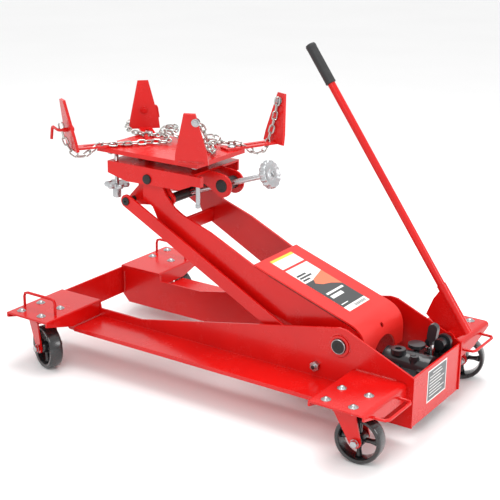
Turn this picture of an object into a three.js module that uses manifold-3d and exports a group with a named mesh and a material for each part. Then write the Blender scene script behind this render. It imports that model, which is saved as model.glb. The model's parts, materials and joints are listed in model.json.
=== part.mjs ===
// A low-profile floor transmission jack: a welded frame on four swivel casters, a lift arm with
// two level links, a head that tilts two ways, and a saddle with four swinging corner arms.
// Millimetres, +Z up, +X towards the pump and handle, -X towards the saddle, Y across.
import * as THREE from "three";
import { mergeVertices } from "three/addons/utils/BufferGeometryUtils.js";
import Module from "manifold-3d";

const wasm = await Module();
wasm.setup();

// ---------------------------------------------------------------- driving dimensions
const GAP = 0.3; // between pieces that touch
const SLACK = 0.3; // radial play of a pin in its hole
const RAD = Math.PI / 180;

// Casters
const KINGPIN_X = 506.5; // kingpins ahead of and behind the middle of the wheelbase
const KINGPIN_Y = 303; // kingpins from the centre line
const WHEEL_R = 62.5;
const WHEEL_W = 42;
const TRAIL = 37; // axle behind the kingpin
const FORK_T = 5;
const AXLE_R = 7;
const SWIVEL_TOP = 149.5; // top of the caster's bearing, on the frame
const CASTER_H = 2 * WHEEL_R + 24.5; // from the floor to the top of the bearing
const PLATE_HALF = [52, 57]; // half length and width of a caster's plate
const PLATE_T = 5;
const PLATE_BOLT = [38, 39.5];
const PLATE_HOLE_R = 5;

// Wings: folded plates that carry the casters
const WING_TOP = 163;
const WING_T = 6;
const WING_OUT = 372; // half width over the wings
const WING_FRONT = [-575, -420]; // front wing, from its front face to its rear face
const WING_REAR = [434, 590];
const WING_SKIRT = 118; // underside of a wing's skirts next to the rail
const SKIRT_END = 148; // underside of the skirts at the outer end
const LOOP_R = 4.5; // tie loops of round bar
const LOOP_RISE = 45;
const LOOP_REACH = 36;

// Side rails: a deep web with a foot flange
const WEB_OUT = 146; // outer face of the webs from the centre line
const WEB_T = 6;
const WEB_BOTTOM = 42;
const WEB_LOW = 138; // top of the web's front part
const WEB_APEX = [398, 267];
const WEB_BACK = [608, 180];
const FLANGE_TOP = 115;
const FLANGE_T = 4;
const FLANGE_OUT = 262;
const FLANGE_LIP = 12;
const LIP_SHORT = 12; // the lip stops short of the rear wing, clear of the turning caster
const REAR_PLATE_X = 604; // rear face of the rear plate
const CROSS_PLATE_RISE = 26; // front plate's lower edge above the webs' lower edge

// Lift arm and its parallel links
const PIVOT = new THREE.Vector3(393, 0, 217);
const PIVOT_R = 21;
const BOSS_R = 29;
const LIFT_ANGLE = 27.3; // degrees above level as modelled
const ARM = 730; // main pivot to head bolt
const ARM_OUT = 104; // outer face of the arm's side plates
const ARM_T = 8;
const LINK_DROP = new THREE.Vector3(-69, 0, -73); // from the arm's pivots to the links' pivots
const LINK_IN = 121;
const LINK_T = 8;
const LINK_HALF = 19;
const LINK_PIN_R = 8;
const COVER_OUT = 108;
const COVER_T = 5;
const COVER_HOLE_R = 7;
const ARCH_R = 66; // arch in the cover, over the hydraulic cylinder
const LEVER = 72; // main pivot to the pin that the ram pushes
const LEVER_PIN_R = 10;

// Head
const HEAD_PIN_R = 10;
const HEAD_EYE_R = 25;
const CHANNEL_OUT = 118;
const CHANNEL_T = 6;
const CHANNEL_TOP = 33; // above the head bolt
const CHANNEL_ENDS = [-144, 150];
const BRACKET_OUT = 92;
const BRACKET_T = 8;
const NUT_AT = new THREE.Vector3(56, 0, -55); // front trunnion, from the head bolt
const TRUNNION_AT = new THREE.Vector3(194, 0, -7); // rear trunnion, from the head bolt
const NUT_R = 14;
const TRUNNION_PIN_R = 9; // front trunnion's pins in the level bracket
const NUT_EYE_R = 19; // level bracket round the front trunnion's pins
const LINK_EYE_R = 17; // level bracket round the link shaft, clear of the star knob
const TRUNNION_R = 18;
const LUG_R = 33;
const LUG_OUT = 33;
const TILT_SCREW_R = 8;
const TILT_KNOB = 146; // knob's middle beyond the rear trunnion
const TILT_KNOB_R = 40;
const SIDE_SCREW = [-128, -97]; // side tilt screw, from the head bolt
const SIDE_SCREW_R = 7;
const STAR_R = 37;
const STOP_BOLT = [172, -112.5]; // between the arm's side and the link
const STOP_BOLT_R = 6;
const SADDLE_ROD_Z = 44; // side tilt axis above the head bolt
const SADDLE_ROD_R = 6;

// Saddle and its corner arms
const SADDLE_X = [-184, 171];
const SADDLE_HALF = 116;
const SADDLE_BOTTOM = 55; // above the head bolt
const SADDLE_T = 13;
const SADDLE_SKIN = 7; // the tray's floor inside its rim
const CORNER_X = [-156, 144]; // pivot bolts of the corner arms
const CORNER_Y = 88;
const CORNER_BOLT_R = 6;
const ARM_BAR_W = 40;
const ARM_BAR_T = 6;
const POST_H = 146;
const POST_FOOT = 94;
const POST_TIP = 32;
const POST_T = 8;
const POST_LEAN = 10.5; // degrees outwards

// Power unit, pump and handle
const CYLINDER_R = 38;
const CYLINDER_FRONT = 456;
const CYLINDER_END = 590;
const RAM_R = 14;
const BLOCK_X = [486, 592];
const BLOCK_Y = [-72, 104];
const BLOCK_Z = [58, 150];
const PUMP_PIVOT = new THREE.Vector3(570, 0, 186);
const PUMP_SHAFT_R = 7;
const BRACKET_Y = [103, 114]; // the pump bracket that carries the cross shaft
const PLUNGER_AT = [540, 86];
const PLUNGER_R = 9;
const RELEASE_AT = [566, 40];
const HANDLE_Y = 165;
const HANDLE_FOOT = new THREE.Vector3(613, HANDLE_Y, 200);
const HANDLE_LEAN = 35.6; // degrees forwards of upright
const HANDLE_LENGTH = 896;
const HANDLE_R = 11;
const SOCKET_R = 13.5;
const SOCKET_LENGTH = 150;
const GRIP_R = 15;
const GRIP_LENGTH = 124;

// ---------------------------------------------------------------- finishes
function finish(color, roughness, metalness) {
  return new THREE.MeshStandardMaterial({ color, roughness, metalness });
}
const RED = finish(0xc9140f, 0.3, 0.1);
const BLACK = finish(0x17181a, 0.4, 0.4);
const ZINC = finish(0xc4c7ca, 0.3, 0.9);
const CHROME = finish(0xe0e2e4, 0.12, 1);
const ALUMINIUM = finish(0xb9bcbe, 0.42, 0.9);
const RUBBER = finish(0x1b1b1c, 0.7, 0);

// ---------------------------------------------------------------- solids
// A closed geometry as a solid that can be joined and cut.
function solidOf(geometry) {
  const bare = geometry.index ? geometry.toNonIndexed() : geometry.clone();
  bare.deleteAttribute("normal");
  bare.deleteAttribute("uv");
  const merged = mergeVertices(bare, 1e-4);
  return new wasm.Manifold(
    new wasm.Mesh({
      numProp: 3,
      vertProperties: merged.attributes.position.array,
      triVerts: new Uint32Array(merged.index.array),
    }),
  );
}

// A solid back as a geometry.
function geometryOf(solid) {
  const mesh = solid.getMesh();
  const geometry = new THREE.BufferGeometry();
  geometry.setAttribute("position", new THREE.BufferAttribute(mesh.vertProperties, 3));
  geometry.setIndex(new THREE.BufferAttribute(mesh.triVerts, 1));
  geometry.computeVertexNormals();
  return geometry;
}

const join = (first, ...others) => others.reduce((all, next) => all.add(next), first);
const cut = (first, ...others) => others.reduce((all, next) => all.subtract(next), first);

function block(x, y, z) {
  const geometry = new THREE.BoxGeometry(x[1] - x[0], y[1] - y[0], z[1] - z[0]);
  return solidOf(geometry.translate((x[0] + x[1]) / 2, (y[0] + y[1]) / 2, (z[0] + z[1]) / 2));
}

// Enough sides that a pin turns in its hole without its corners meeting the hole's flats.
const sidesOf = (radius) => 2 * Math.ceil(Math.PI / Math.acos(radius / (radius + SLACK)) / 2);

function cone(from, to, radius, endRadius, sides = sidesOf(radius)) {
  const axis = new THREE.Vector3().subVectors(to, from);
  const geometry = new THREE.CylinderGeometry(endRadius, radius, axis.length(), sides);
  const direction = axis.clone().normalize();
  const turn = new THREE.Quaternion().setFromUnitVectors(new THREE.Vector3(0, 1, 0), direction);
  const middle = new THREE.Vector3().addVectors(from, to).multiplyScalar(0.5);
  return solidOf(geometry.applyQuaternion(turn).translate(middle.x, middle.y, middle.z));
}

const rod = (from, to, radius, sides) => cone(from, to, radius, radius, sides);
const at = (x, y, z) => new THREE.Vector3(x, y, z);
const across = (x, z, y0, y1, radius, sides) => rod(at(x, y0, z), at(x, y1, z), radius, sides);
const upright = (x, y, z0, z1, radius, sides) => rod(at(x, y, z0), at(x, y, z1), radius, sides);

// A plate that stands along X and Z, from y0 to y1, with its outline as [x, z] pairs.
function plate(outline, y0, y1) {
  const corners = outline instanceof THREE.Shape ? null : outline.map(([x, z]) => new THREE.Vector2(x, z));
  const shape = corners ? new THREE.Shape(corners) : outline;
  const geometry = new THREE.ExtrudeGeometry(shape, {
    depth: y1 - y0,
    bevelEnabled: false,
    curveSegments: 6,
  });
  return solidOf(geometry.rotateX(Math.PI / 2).translate(0, y1, 0));
}

// A bar with round ends from one point to another in the X and Z plane.
function strap(from, to, half, y0, y1) {
  const side = at(to.z - from.z, 0, from.x - to.x).normalize().multiplyScalar(half);
  const corners = [
    [from.x + side.x, from.z + side.z],
    [from.x - side.x, from.z - side.z],
    [to.x - side.x, to.z - side.z],
    [to.x + side.x, to.z + side.z],
  ];
  return join(
    plate(corners, y0, y1),
    across(from.x, from.z, y0, y1, half),
    across(to.x, to.z, y0, y1, half),
  );
}

// Round bar bent along a run of points, with an arc of the given radius at each inner point.
function bentBar(points, radius, bend, sides = 6) {
  const path = new THREE.CurvePath();
  let start = points[0];
  points.slice(1, -1).forEach((corner, i) => {
    const before = at(0, 0, 0).subVectors(points[i], corner).normalize().multiplyScalar(bend).add(corner);
    const ahead = points[i + 2].clone().sub(corner).normalize();
    const after = ahead.multiplyScalar(bend).add(corner);
    path.add(new THREE.LineCurve3(start, before));
    path.add(new THREE.QuadraticBezierCurve3(before, corner, after));
    start = after;
  });
  path.add(new THREE.LineCurve3(start, points[points.length - 1]));
  const section = new THREE.Shape();
  section.absarc(0, 0, radius, 0, 2 * Math.PI);
  const steps = 6 * (points.length - 1);
  return solidOf(
    new THREE.ExtrudeGeometry(section, { steps, curveSegments: sides / 2, extrudePath: path }),
  );
}

// A scalloped hand wheel's outline.
function scallops(radius, depth, lobes) {
  const rim = [];
  for (let i = 0; i < 4 * lobes; i++) {
    const turn = (i / (4 * lobes)) * 2 * Math.PI;
    const r = radius - (depth / 2) * (1 - Math.cos(lobes * turn));
    rim.push(new THREE.Vector2(r * Math.cos(turn), r * Math.sin(turn)));
  }
  return new THREE.Shape(rim);
}

function add(parent, name, solid, material) {
  const mesh = new THREE.Mesh(geometryOf(solid), material);
  mesh.name = name;
  parent.add(mesh);
  return mesh;
}

function groupAt(parent, position, turnY = 0) {
  const group = new THREE.Group();
  group.position.copy(position);
  group.rotation.y = turnY;
  parent.add(group);
  return group;
}

// ---------------------------------------------------------------- frame
// side is -1 on the left (near) side and +1 on the right.
const span = (side, inner, outer) => (side < 0 ? [-outer, -inner] : [inner, outer]);

function sideRail(side) {
  const [y0, y1] = span(side, WEB_OUT - WEB_T, WEB_OUT);
  const underWing = WING_TOP - WING_T - GAP;
  const frontFace = WING_FRONT[0] + WEB_T + GAP;
  const outline = [
    [frontFace, WEB_BOTTOM + 24],
    [frontFace + 24, WEB_BOTTOM],
    [WEB_BACK[0], WEB_BOTTOM],
    [WEB_BACK[0], WEB_BACK[1]],
    [WEB_APEX[0] + 12, WEB_APEX[1] - 3],
    [WEB_APEX[0] - 10, WEB_APEX[1] - 1],
    [WEB_APEX[0] - 24, WEB_APEX[1] - 4],
    [-262, WEB_LOW],
    [WING_FRONT[1] + 4, WEB_LOW],
    [WING_FRONT[1], underWing],
    [frontFace, underWing],
  ];
  let rail = plate(outline, y0, y1);
  const flangeX = [WING_FRONT[1] + GAP, WING_REAR[0] - GAP];
  rail = join(
    rail,
    block(flangeX, span(side, WEB_OUT - 2, FLANGE_OUT), [FLANGE_TOP - FLANGE_T, FLANGE_TOP]),
    block(
      [flangeX[0], flangeX[1] - LIP_SHORT],
      span(side, FLANGE_OUT - FLANGE_T, FLANGE_OUT),
      [FLANGE_TOP - FLANGE_LIP, FLANGE_TOP - 1],
    ),
    across(PIVOT.x, PIVOT.z, ...span(side, WEB_OUT - 2, WEB_OUT + 5), BOSS_R),
  );
  const link = PIVOT.clone().add(LINK_DROP);
  rail = cut(
    rail,
    across(PIVOT.x, PIVOT.z, ...span(side, WEB_OUT - 20, WEB_OUT + 20), PIVOT_R + SLACK),
    across(link.x, link.z, ...span(side, WEB_OUT - 20, WEB_OUT + 20), LINK_PIN_R + SLACK),
  );
  if (side < 0) return rail;
  // The right web carries the pump's cross shaft in an ear.
  return cut(
    join(rail, across(PUMP_PIVOT.x, PUMP_PIVOT.z, y0, y1, PUMP_SHAFT_R + 9)),
    across(PUMP_PIVOT.x, PUMP_PIVOT.z, y0 - 5, y1 + 5, PUMP_SHAFT_R + SLACK),
  );
}

// A wing's section: a top plate with a skirt on each side, rounded over the given bends.
function wingSection([front, rear], bends) {
  const section = new THREE.Shape();
  section.moveTo(front, WING_SKIRT);
  section.lineTo(front + WING_T, WING_SKIRT);
  section.lineTo(front + WING_T, WING_TOP - WING_T);
  section.lineTo(rear - WING_T, WING_TOP - WING_T);
  section.lineTo(rear - WING_T, WING_SKIRT);
  section.lineTo(rear, WING_SKIRT);
  section.lineTo(rear, WING_TOP - bends[1]);
  section.quadraticCurveTo(rear, WING_TOP, rear - bends[1], WING_TOP);
  section.lineTo(front + bends[0], WING_TOP);
  section.quadraticCurveTo(front, WING_TOP, front, WING_TOP - bends[0]);
  return section;
}

// The wedge that trims a wing's skirts, from its outline in the Y and Z plane.
function skirtWedge(side, ends) {
  const outline = [
    [FLANGE_OUT, WING_SKIRT - 1],
    [WING_OUT + 1, WING_SKIRT - 1],
    [WING_OUT + 1, SKIRT_END],
  ];
  const shape = new THREE.Shape(outline.map(([y, z]) => new THREE.Vector2(side * y, z)));
  const geometry = new THREE.ExtrudeGeometry(shape, { depth: ends[1] - ends[0] + 2, bevelEnabled: false });
  // Shape X becomes Y, shape Y becomes Z and the depth runs along X.
  const turn = new THREE.Matrix4().makeBasis(at(0, 1, 0), at(0, 0, 1), at(1, 0, 0));
  return solidOf(geometry.applyMatrix4(turn).translate(ends[0] - 1, 0, 0));
}

function frontWing(side) {
  const y = side * 310;
  const [x0, x1] = [WING_FRONT[0] + 12, WING_FRONT[1] - 24];
  const loop = bentBar(
    [
      at(x0, y, WING_TOP - 3),
      at(x0, y, WING_TOP + LOOP_RISE),
      at(x1, y, WING_TOP + LOOP_RISE),
      at(x1, y, WING_TOP - 3),
    ],
    LOOP_R,
    14,
  );
  const [y0, y1] = span(side, WEB_OUT - WEB_T, WING_OUT);
  let body = join(plate(wingSection(WING_FRONT, [4, 5]), y0, y1), loop);
  // Clear of the web and of the front cross plate below the top plate.
  body = cut(
    body,
    block(
      [WING_FRONT[0] - 1, WING_FRONT[1] + 1],
      span(side, WEB_OUT - WEB_T - 1, WEB_OUT + GAP),
      [WING_SKIRT - 1, WING_TOP - WING_T],
    ),
    skirtWedge(side, WING_FRONT),
  );
  return body;
}

function rearWing(side) {
  const z = 140;
  const [inner, outer] = [190, 322];
  const root = WING_REAR[1] - 3;
  const tip = WING_REAR[1] + LOOP_REACH;
  const loop = bentBar(
    [
      at(root, side * inner, z),
      at(tip, side * inner, z),
      at(tip, side * outer, z),
      at(root, side * outer, z),
    ],
    LOOP_R,
    14,
  );
  const [y0, y1] = span(side, WEB_OUT + GAP, WING_OUT);
  return cut(join(plate(wingSection(WING_REAR, [4, 14]), y0, y1), loop), skirtWedge(side, WING_REAR));
}

function frontCrossPlate() {
  const face = WING_FRONT[0];
  return block(
    [face, face + WEB_T],
    [-WEB_OUT, WEB_OUT],
    [WEB_BOTTOM + CROSS_PLATE_RISE, WING_TOP - WING_T - GAP],
  );
}

function rearPlate() {
  const inner = WEB_OUT - WEB_T - GAP;
  return block([REAR_PLATE_X - WEB_T, REAR_PLATE_X], [-inner, inner], [WEB_BOTTOM - 2, WEB_BACK[1] - 2]);
}

// ---------------------------------------------------------------- casters
function casterFork() {
  const inner = WHEEL_W / 2 + 3;
  const crown = CASTER_H - 11;
  const legs = [-1, 1].map((side) => {
    const leg = new THREE.Shape();
    leg.moveTo(-26, crown);
    leg.lineTo(TRAIL - 15, WHEEL_R - 6);
    leg.absarc(TRAIL, WHEEL_R, 15, Math.PI * 1.15, Math.PI * 2.05, false);
    leg.lineTo(34, crown);
    return plate(leg, ...span(side, inner, inner + FORK_T));
  });
  const outer = inner + FORK_T;
  return join(
    ...legs,
    block([-26, 34], [-outer, outer], [crown - FORK_T, crown]),
    upright(0, 0, crown - 1, CASTER_H, 24),
    across(TRAIL, WHEEL_R, -outer - 4, outer + 4, AXLE_R),
    across(TRAIL, WHEEL_R, -outer - 9, -outer - 3, AXLE_R + 4, 6),
    across(TRAIL, WHEEL_R, outer + 3, outer + 9, AXLE_R + 4, 6),
  );
}

// The plate that bolts a caster under its wing, with the fixed race of the swivel bearing.
function casterPlate() {
  const [x, y] = PLATE_HALF;
  const plateBottom = WING_TOP - WING_T - GAP - PLATE_T;
  const holes = [-1, 1].flatMap((i) =>
    [-1, 1].map((j) => upright(i * PLATE_BOLT[0], j * PLATE_BOLT[1], 100, WING_TOP, PLATE_HOLE_R)),
  );
  return cut(
    join(
      block([-x, x], [-y, y], [plateBottom, plateBottom + PLATE_T]),
      upright(0, 0, plateBottom - 1.5, plateBottom + 1, 30),
    ),
    ...holes,
  );
}

function casterWheel() {
  const half = WHEEL_W / 2;
  const profile = [
    [WHEEL_R - 9, -half + 3],
    [WHEEL_R - 3, -half + 3],
    [WHEEL_R, -half + 9],
    [WHEEL_R, half - 9],
    [WHEEL_R - 3, half - 3],
    [WHEEL_R - 9, half - 3],
  ].map(([r, y]) => new THREE.Vector2(r, y));
  const tread = solidOf(new THREE.LatheGeometry([...profile, profile[0]], 28));
  const hub = across(0, 0, -half, half, 17);
  const spokes = [0, 1, 2, 3].map((i) => {
    const turn = (i * Math.PI) / 2;
    const dx = Math.cos(turn);
    const dz = Math.sin(turn);
    return strap(at(dx * 12, 0, dz * 12), at(dx * (WHEEL_R - 6), 0, dz * (WHEEL_R - 6)), 6, -10, 10);
  });
  const whole = cut(join(tread, hub, ...spokes), across(0, 0, -half - 1, half + 1, AXLE_R + SLACK));
  return whole;
}

// ---------------------------------------------------------------- lift arm
// In the arm's own frame the head bolt is ARM along -X, and Z is square to the arm.
function armSide(side) {
  const edge = [
    [46, 0],
    [40, 24],
    [20, 38],
    [-34, 36],
    [-326, -7],
    [-490, -14],
    [140 - ARM, -28],
    [108 - ARM, -27],
    [66 - ARM, -12],
    [40 - ARM, 8],
    [18 - ARM, 20],
    [-ARM, 25],
    [-ARM - 18, 18],
    [-ARM - 25, 0],
    [-ARM - 14, -30],
    [8 - ARM, -74],
    [42 - ARM, -69],
    [62 - ARM, -82],
    [90 - ARM, -104],
    [130 - ARM, -113],
    [-393, -113],
    [-285, -104],
    [-140, -70],
    [-40, -50],
    [0, -46],
    [32, -33],
  ];
  const [y0, y1] = span(side, ARM_OUT - ARM_T, ARM_OUT);
  return cut(
    join(plate(edge, y0, y1), across(0, 0, ...span(side, ARM_OUT - 1, WEB_OUT - WEB_T - 1), BOSS_R + 1)),
    across(0, 0, ...span(side, 0, WEB_OUT + 10), PIVOT_R + SLACK),
    across(-ARM, 0, ...span(side, 0, WEB_OUT + 10), HEAD_PIN_R + SLACK),
  );
}

function armHub() {
  const inner = ARM_OUT - ARM_T - GAP;
  const turn = LIFT_ANGLE * RAD;
  // The ram's pin hangs straight below the main pivot as modelled.
  const pin = at(LEVER * Math.sin(turn), 0, -LEVER * Math.cos(turn));
  const lugs = [-1, 1].map((side) => strap(at(0, 0, 0), pin, 15, ...span(side, 17, 29)));
  return cut(
    join(across(0, 0, -inner, inner, 35), ...lugs, across(pin.x, pin.z, -29, 29, LEVER_PIN_R)),
    across(0, 0, -inner - 1, inner + 1, PIVOT_R + SLACK),
  );
}

function armBrace() {
  const inner = ARM_OUT - ARM_T - GAP;
  return plate(
    [
      [-612, -70],
      [-598, -108],
      [-590, -108],
      [-604, -70],
    ],
    -inner,
    inner,
  );
}

// A folded cover over the arm's lower end: its upper face as points, then its lower face.
function armCover() {
  const corner = at(33.3, 0, 55.4);
  const front = at(-330, 0, 1);
  const foot = at(76, 0, -27);
  const towards = (target, distance) => {
    const direction = target.clone().sub(corner).normalize();
    return direction.multiplyScalar(distance).add(corner);
  };
  const fold = new THREE.QuadraticBezierCurve3(towards(front, 52), corner, towards(foot, 52)).getPoints(9);
  const upper = [front, ...fold, foot];
  const lower = upper.map((p, i) => {
    const before = upper[Math.max(i - 1, 0)];
    const after = upper[Math.min(i + 1, upper.length - 1)];
    const along = at(0, 0, 0).subVectors(after, before).normalize();
    return at(p.x + along.z * COVER_T, 0, p.z - along.x * COVER_T);
  });
  const outline = [...upper, ...lower.reverse()].map((p) => [p.x, p.z]);
  const shell = plate(outline, -COVER_OUT, COVER_OUT);
  // The arch over the hydraulic cylinder and the round hole are cut along the jack's own axes.
  const turn = LIFT_ANGLE * RAD;
  const cylinderZ = -LEVER;
  const arch = join(
    rod(at(20, 0, cylinderZ), at(110, 0, cylinderZ), ARCH_R),
    block([20, 110], [-ARCH_R, ARCH_R], [cylinderZ - ARCH_R, cylinderZ]),
  );
  const hole = rod(at(20, 0), at(80, 0, 52), COVER_HOLE_R);
  const intoArm = (solid) => solidOf(geometryOf(solid).rotateY(-turn));
  return cut(shell, intoArm(arch), intoArm(hole));
}

function levelLink(side) {
  const [y0, y1] = span(side, LINK_IN, LINK_IN + LINK_T);
  return cut(
    strap(at(0, 0, 0), at(-ARM, 0, 0), LINK_HALF, y0, y1),
    across(0, 0, y0 - 5, y1 + 5, LINK_PIN_R + SLACK),
    across(-ARM, 0, y0 - 5, y1 + 5, LINK_PIN_R + SLACK),
  );
}

function linkShaft() {
  const outer = LINK_IN + LINK_T + GAP;
  return join(
    across(-ARM, 0, -outer - 1, outer + 1, LINK_PIN_R),
    across(-ARM, 0, -outer - 4, -outer, LINK_PIN_R + 4),
    across(-ARM, 0, outer, outer + 4, LINK_PIN_R + 4),
  );
}

function linkBolt(side) {
  const { x, z } = PIVOT.clone().add(LINK_DROP);
  return join(
    across(x, z, ...span(side, LINK_IN - GAP - 7, WEB_OUT + 16), LINK_PIN_R),
    across(x, z, ...span(side, LINK_IN - GAP - 8, LINK_IN - GAP), LINK_PIN_R + 5, 6),
    across(x, z, ...span(side, WEB_OUT + GAP, WEB_OUT + 11), LINK_PIN_R + 6, 6),
  );
}

// ---------------------------------------------------------------- head, from the head bolt
function levelBracket() {
  const inner = BRACKET_OUT - BRACKET_T;
  const sides = [-1, 1].map((side) => {
    const [y0, y1] = span(side, inner, BRACKET_OUT);
    const web = plate(
      [
        [-4, 20],
        [LINK_DROP.x - 14, LINK_DROP.z + 10],
        [LINK_DROP.x + 6, LINK_DROP.z - 16],
        [NUT_AT.x + 6, NUT_AT.z - 17],
        [NUT_AT.x + 16, NUT_AT.z + 10],
        [10, 20],
      ],
      y0,
      y1,
    );
    return join(
      web,
      across(0, 0, y0, y1, 22),
      across(LINK_DROP.x, LINK_DROP.z, y0, y1, LINK_EYE_R),
      across(NUT_AT.x, NUT_AT.z, y0, y1, NUT_EYE_R),
    );
  });
  const tie = block([-58, -52], [-inner - 1, inner + 1], [-46, -8]);
  const sleeve = across(LINK_DROP.x, LINK_DROP.z, -inner - 1, inner + 1, 14);
  const reach = BRACKET_OUT + 5;
  return cut(
    join(...sides, tie, sleeve),
    across(0, 0, -reach, reach, HEAD_PIN_R + SLACK),
    across(LINK_DROP.x, LINK_DROP.z, -reach, reach, LINK_PIN_R + 1),
    across(NUT_AT.x, NUT_AT.z, -reach, reach, TRUNNION_PIN_R + SLACK),
  );
}

// The tilt screw's direction, from the front trunnion to the rear one.
const screwDirection = at(0, 0, 0).subVectors(TRUNNION_AT, NUT_AT).normalize();
const alongScrew = (from, distance) => from.clone().addScaledVector(screwDirection, distance);

function frontTrunnion() {
  const inner = BRACKET_OUT - BRACKET_T - GAP;
  return cut(
    join(
      across(NUT_AT.x, NUT_AT.z, -inner, inner, NUT_R),
      across(NUT_AT.x, NUT_AT.z, -BRACKET_OUT, BRACKET_OUT, TRUNNION_PIN_R),
    ),
    rod(alongScrew(NUT_AT, -40), alongScrew(NUT_AT, 40), TILT_SCREW_R + 2),
  );
}

function rearTrunnion() {
  const reach = LUG_OUT + 3;
  return cut(
    across(TRUNNION_AT.x, TRUNNION_AT.z, -reach, reach, TRUNNION_R),
    rod(alongScrew(TRUNNION_AT, -40), alongScrew(TRUNNION_AT, 40), TILT_SCREW_R + SLACK),
  );
}

function tiltScrew() {
  return rod(alongScrew(NUT_AT, -30), alongScrew(TRUNNION_AT, TILT_KNOB + 6), TILT_SCREW_R);
}

function tiltKnob() {
  const disc = new THREE.ExtrudeGeometry(scallops(TILT_KNOB_R, 6, 10), { depth: 20, bevelEnabled: false });
  const turn = new THREE.Quaternion().setFromUnitVectors(at(0, 0, 1), screwDirection);
  const place = alongScrew(TRUNNION_AT, TILT_KNOB - 10);
  const wheel = solidOf(disc.applyQuaternion(turn).translate(place.x, place.y, place.z));
  const hub = rod(alongScrew(TRUNNION_AT, TILT_KNOB - 22), alongScrew(TRUNNION_AT, TILT_KNOB), 14);
  const bore = rod(
    alongScrew(TRUNNION_AT, TILT_KNOB - 30),
    alongScrew(TRUNNION_AT, TILT_KNOB + 6 + GAP),
    TILT_SCREW_R + SLACK,
  );
  return cut(join(wheel, hub), bore);
}

function tiltChannel() {
  const [front, back] = CHANNEL_ENDS;
  const underTop = CHANNEL_TOP - CHANNEL_T;
  const sides = [-1, 1].map((side) =>
    plate(
      [
        [front, -2],
        [-76, -18],
        [112, -14],
        [back, 2],
        [back, CHANNEL_TOP],
        [front, CHANNEL_TOP],
      ],
      ...span(side, CHANNEL_OUT - CHANNEL_T, CHANNEL_OUT),
    ),
  );
  const lugs = [-1, 1].map((side) => {
    const lug = new THREE.Shape();
    lug.moveTo(96, 6);
    lug.lineTo(150, -16);
    lug.lineTo(TRUNNION_AT.x - 8, TRUNNION_AT.z - LUG_R + 1);
    lug.absarc(TRUNNION_AT.x, TRUNNION_AT.z, LUG_R, -Math.PI * 0.5, Math.PI * 0.5, false);
    lug.lineTo(150, CHANNEL_TOP - 1);
    lug.lineTo(96, CHANNEL_TOP - 1);
    return plate(lug, ...span(side, LUG_OUT - 6, LUG_OUT));
  });
  const rodBlocks = [-110, 110].map((x) => {
    return block([x - 7, x + 7], [-13, 13], [CHANNEL_TOP - 1, SADDLE_ROD_Z + 8]);
  });
  const saddleRod = rod(at(-125, 0, SADDLE_ROD_Z), at(125, 0, SADDLE_ROD_Z), SADDLE_ROD_R);
  const [stopX, stopY] = STOP_BOLT;
  const ear = block([back - 1, stopX + 13], [stopY - 7.5, stopY + 7.5], [5, CHANNEL_TOP]);
  const top = block([front, back], [-CHANNEL_OUT, CHANNEL_OUT], [underTop, CHANNEL_TOP]);
  const weldNut = upright(...SIDE_SCREW, underTop - 13, underTop + 1, 13, 6);
  return cut(
    join(...sides, top, ...lugs, ...rodBlocks, saddleRod, ear, weldNut),
    across(0, 0, -CHANNEL_OUT - 5, CHANNEL_OUT + 5, HEAD_PIN_R + SLACK),
    across(TRUNNION_AT.x, TRUNNION_AT.z, -LUG_OUT - 5, LUG_OUT + 5, TRUNNION_R + SLACK),
    upright(...SIDE_SCREW, underTop - 20, CHANNEL_TOP + 5, SIDE_SCREW_R + SLACK),
    upright(...STOP_BOLT, 0, CHANNEL_TOP + 5, STOP_BOLT_R + SLACK),
  );
}

function headShaft() {
  const outer = CHANNEL_OUT + GAP;
  return join(
    across(0, 0, -outer - 1, outer + 1, HEAD_PIN_R),
    across(0, 0, -outer - 6, -outer, HEAD_PIN_R + 4),
    across(0, 0, outer, outer + 6, HEAD_PIN_R + 4),
  );
}

function sideTiltScrew() {
  return upright(...SIDE_SCREW, -62, SADDLE_BOTTOM + SADDLE_T - SADDLE_SKIN - 1, SIDE_SCREW_R);
}

function starKnob() {
  const disc = new THREE.ExtrudeGeometry(scallops(STAR_R, 12, 6), { depth: 13, bevelEnabled: false });
  const [x, y] = SIDE_SCREW;
  return cut(
    join(solidOf(disc.translate(x, y, -46)), upright(x, y, -76, -40, 13)),
    upright(x, y, -62 - GAP, -20, SIDE_SCREW_R + SLACK),
  );
}

function stopBolt() {
  const shank = upright(...STOP_BOLT, -48, CHANNEL_TOP - 2, STOP_BOLT_R);
  return join(shank, upright(...STOP_BOLT, -55, -46, STOP_BOLT_R + 2, 6));
}

// ---------------------------------------------------------------- saddle, from the head bolt
function saddlePlate() {
  const top = SADDLE_BOTTOM + SADDLE_T;
  const lip = 8;
  const tray = cut(
    block(SADDLE_X, [-SADDLE_HALF, SADDLE_HALF], [SADDLE_BOTTOM, top]),
    block(
      [SADDLE_X[0] + lip, SADDLE_X[1] - lip],
      [-SADDLE_HALF + lip, SADDLE_HALF - lip],
      [SADDLE_BOTTOM - 1, top - SADDLE_SKIN],
    ),
  );
  const lugs = [-84, 84].map((x) => block([x - 8, x + 8], [-13, 13], [SADDLE_ROD_Z - 8, top - 2]));
  const holes = CORNER_X.flatMap((x) =>
    [-1, 1].map((side) => upright(x, side * CORNER_Y, SADDLE_BOTTOM, top + 5, CORNER_BOLT_R + SLACK)),
  );
  const rodBore = rod(at(-100, 0, SADDLE_ROD_Z), at(100, 0, SADDLE_ROD_Z), SADDLE_ROD_R + SLACK);
  return cut(join(tray, ...lugs), rodBore, ...holes);
}

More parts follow.
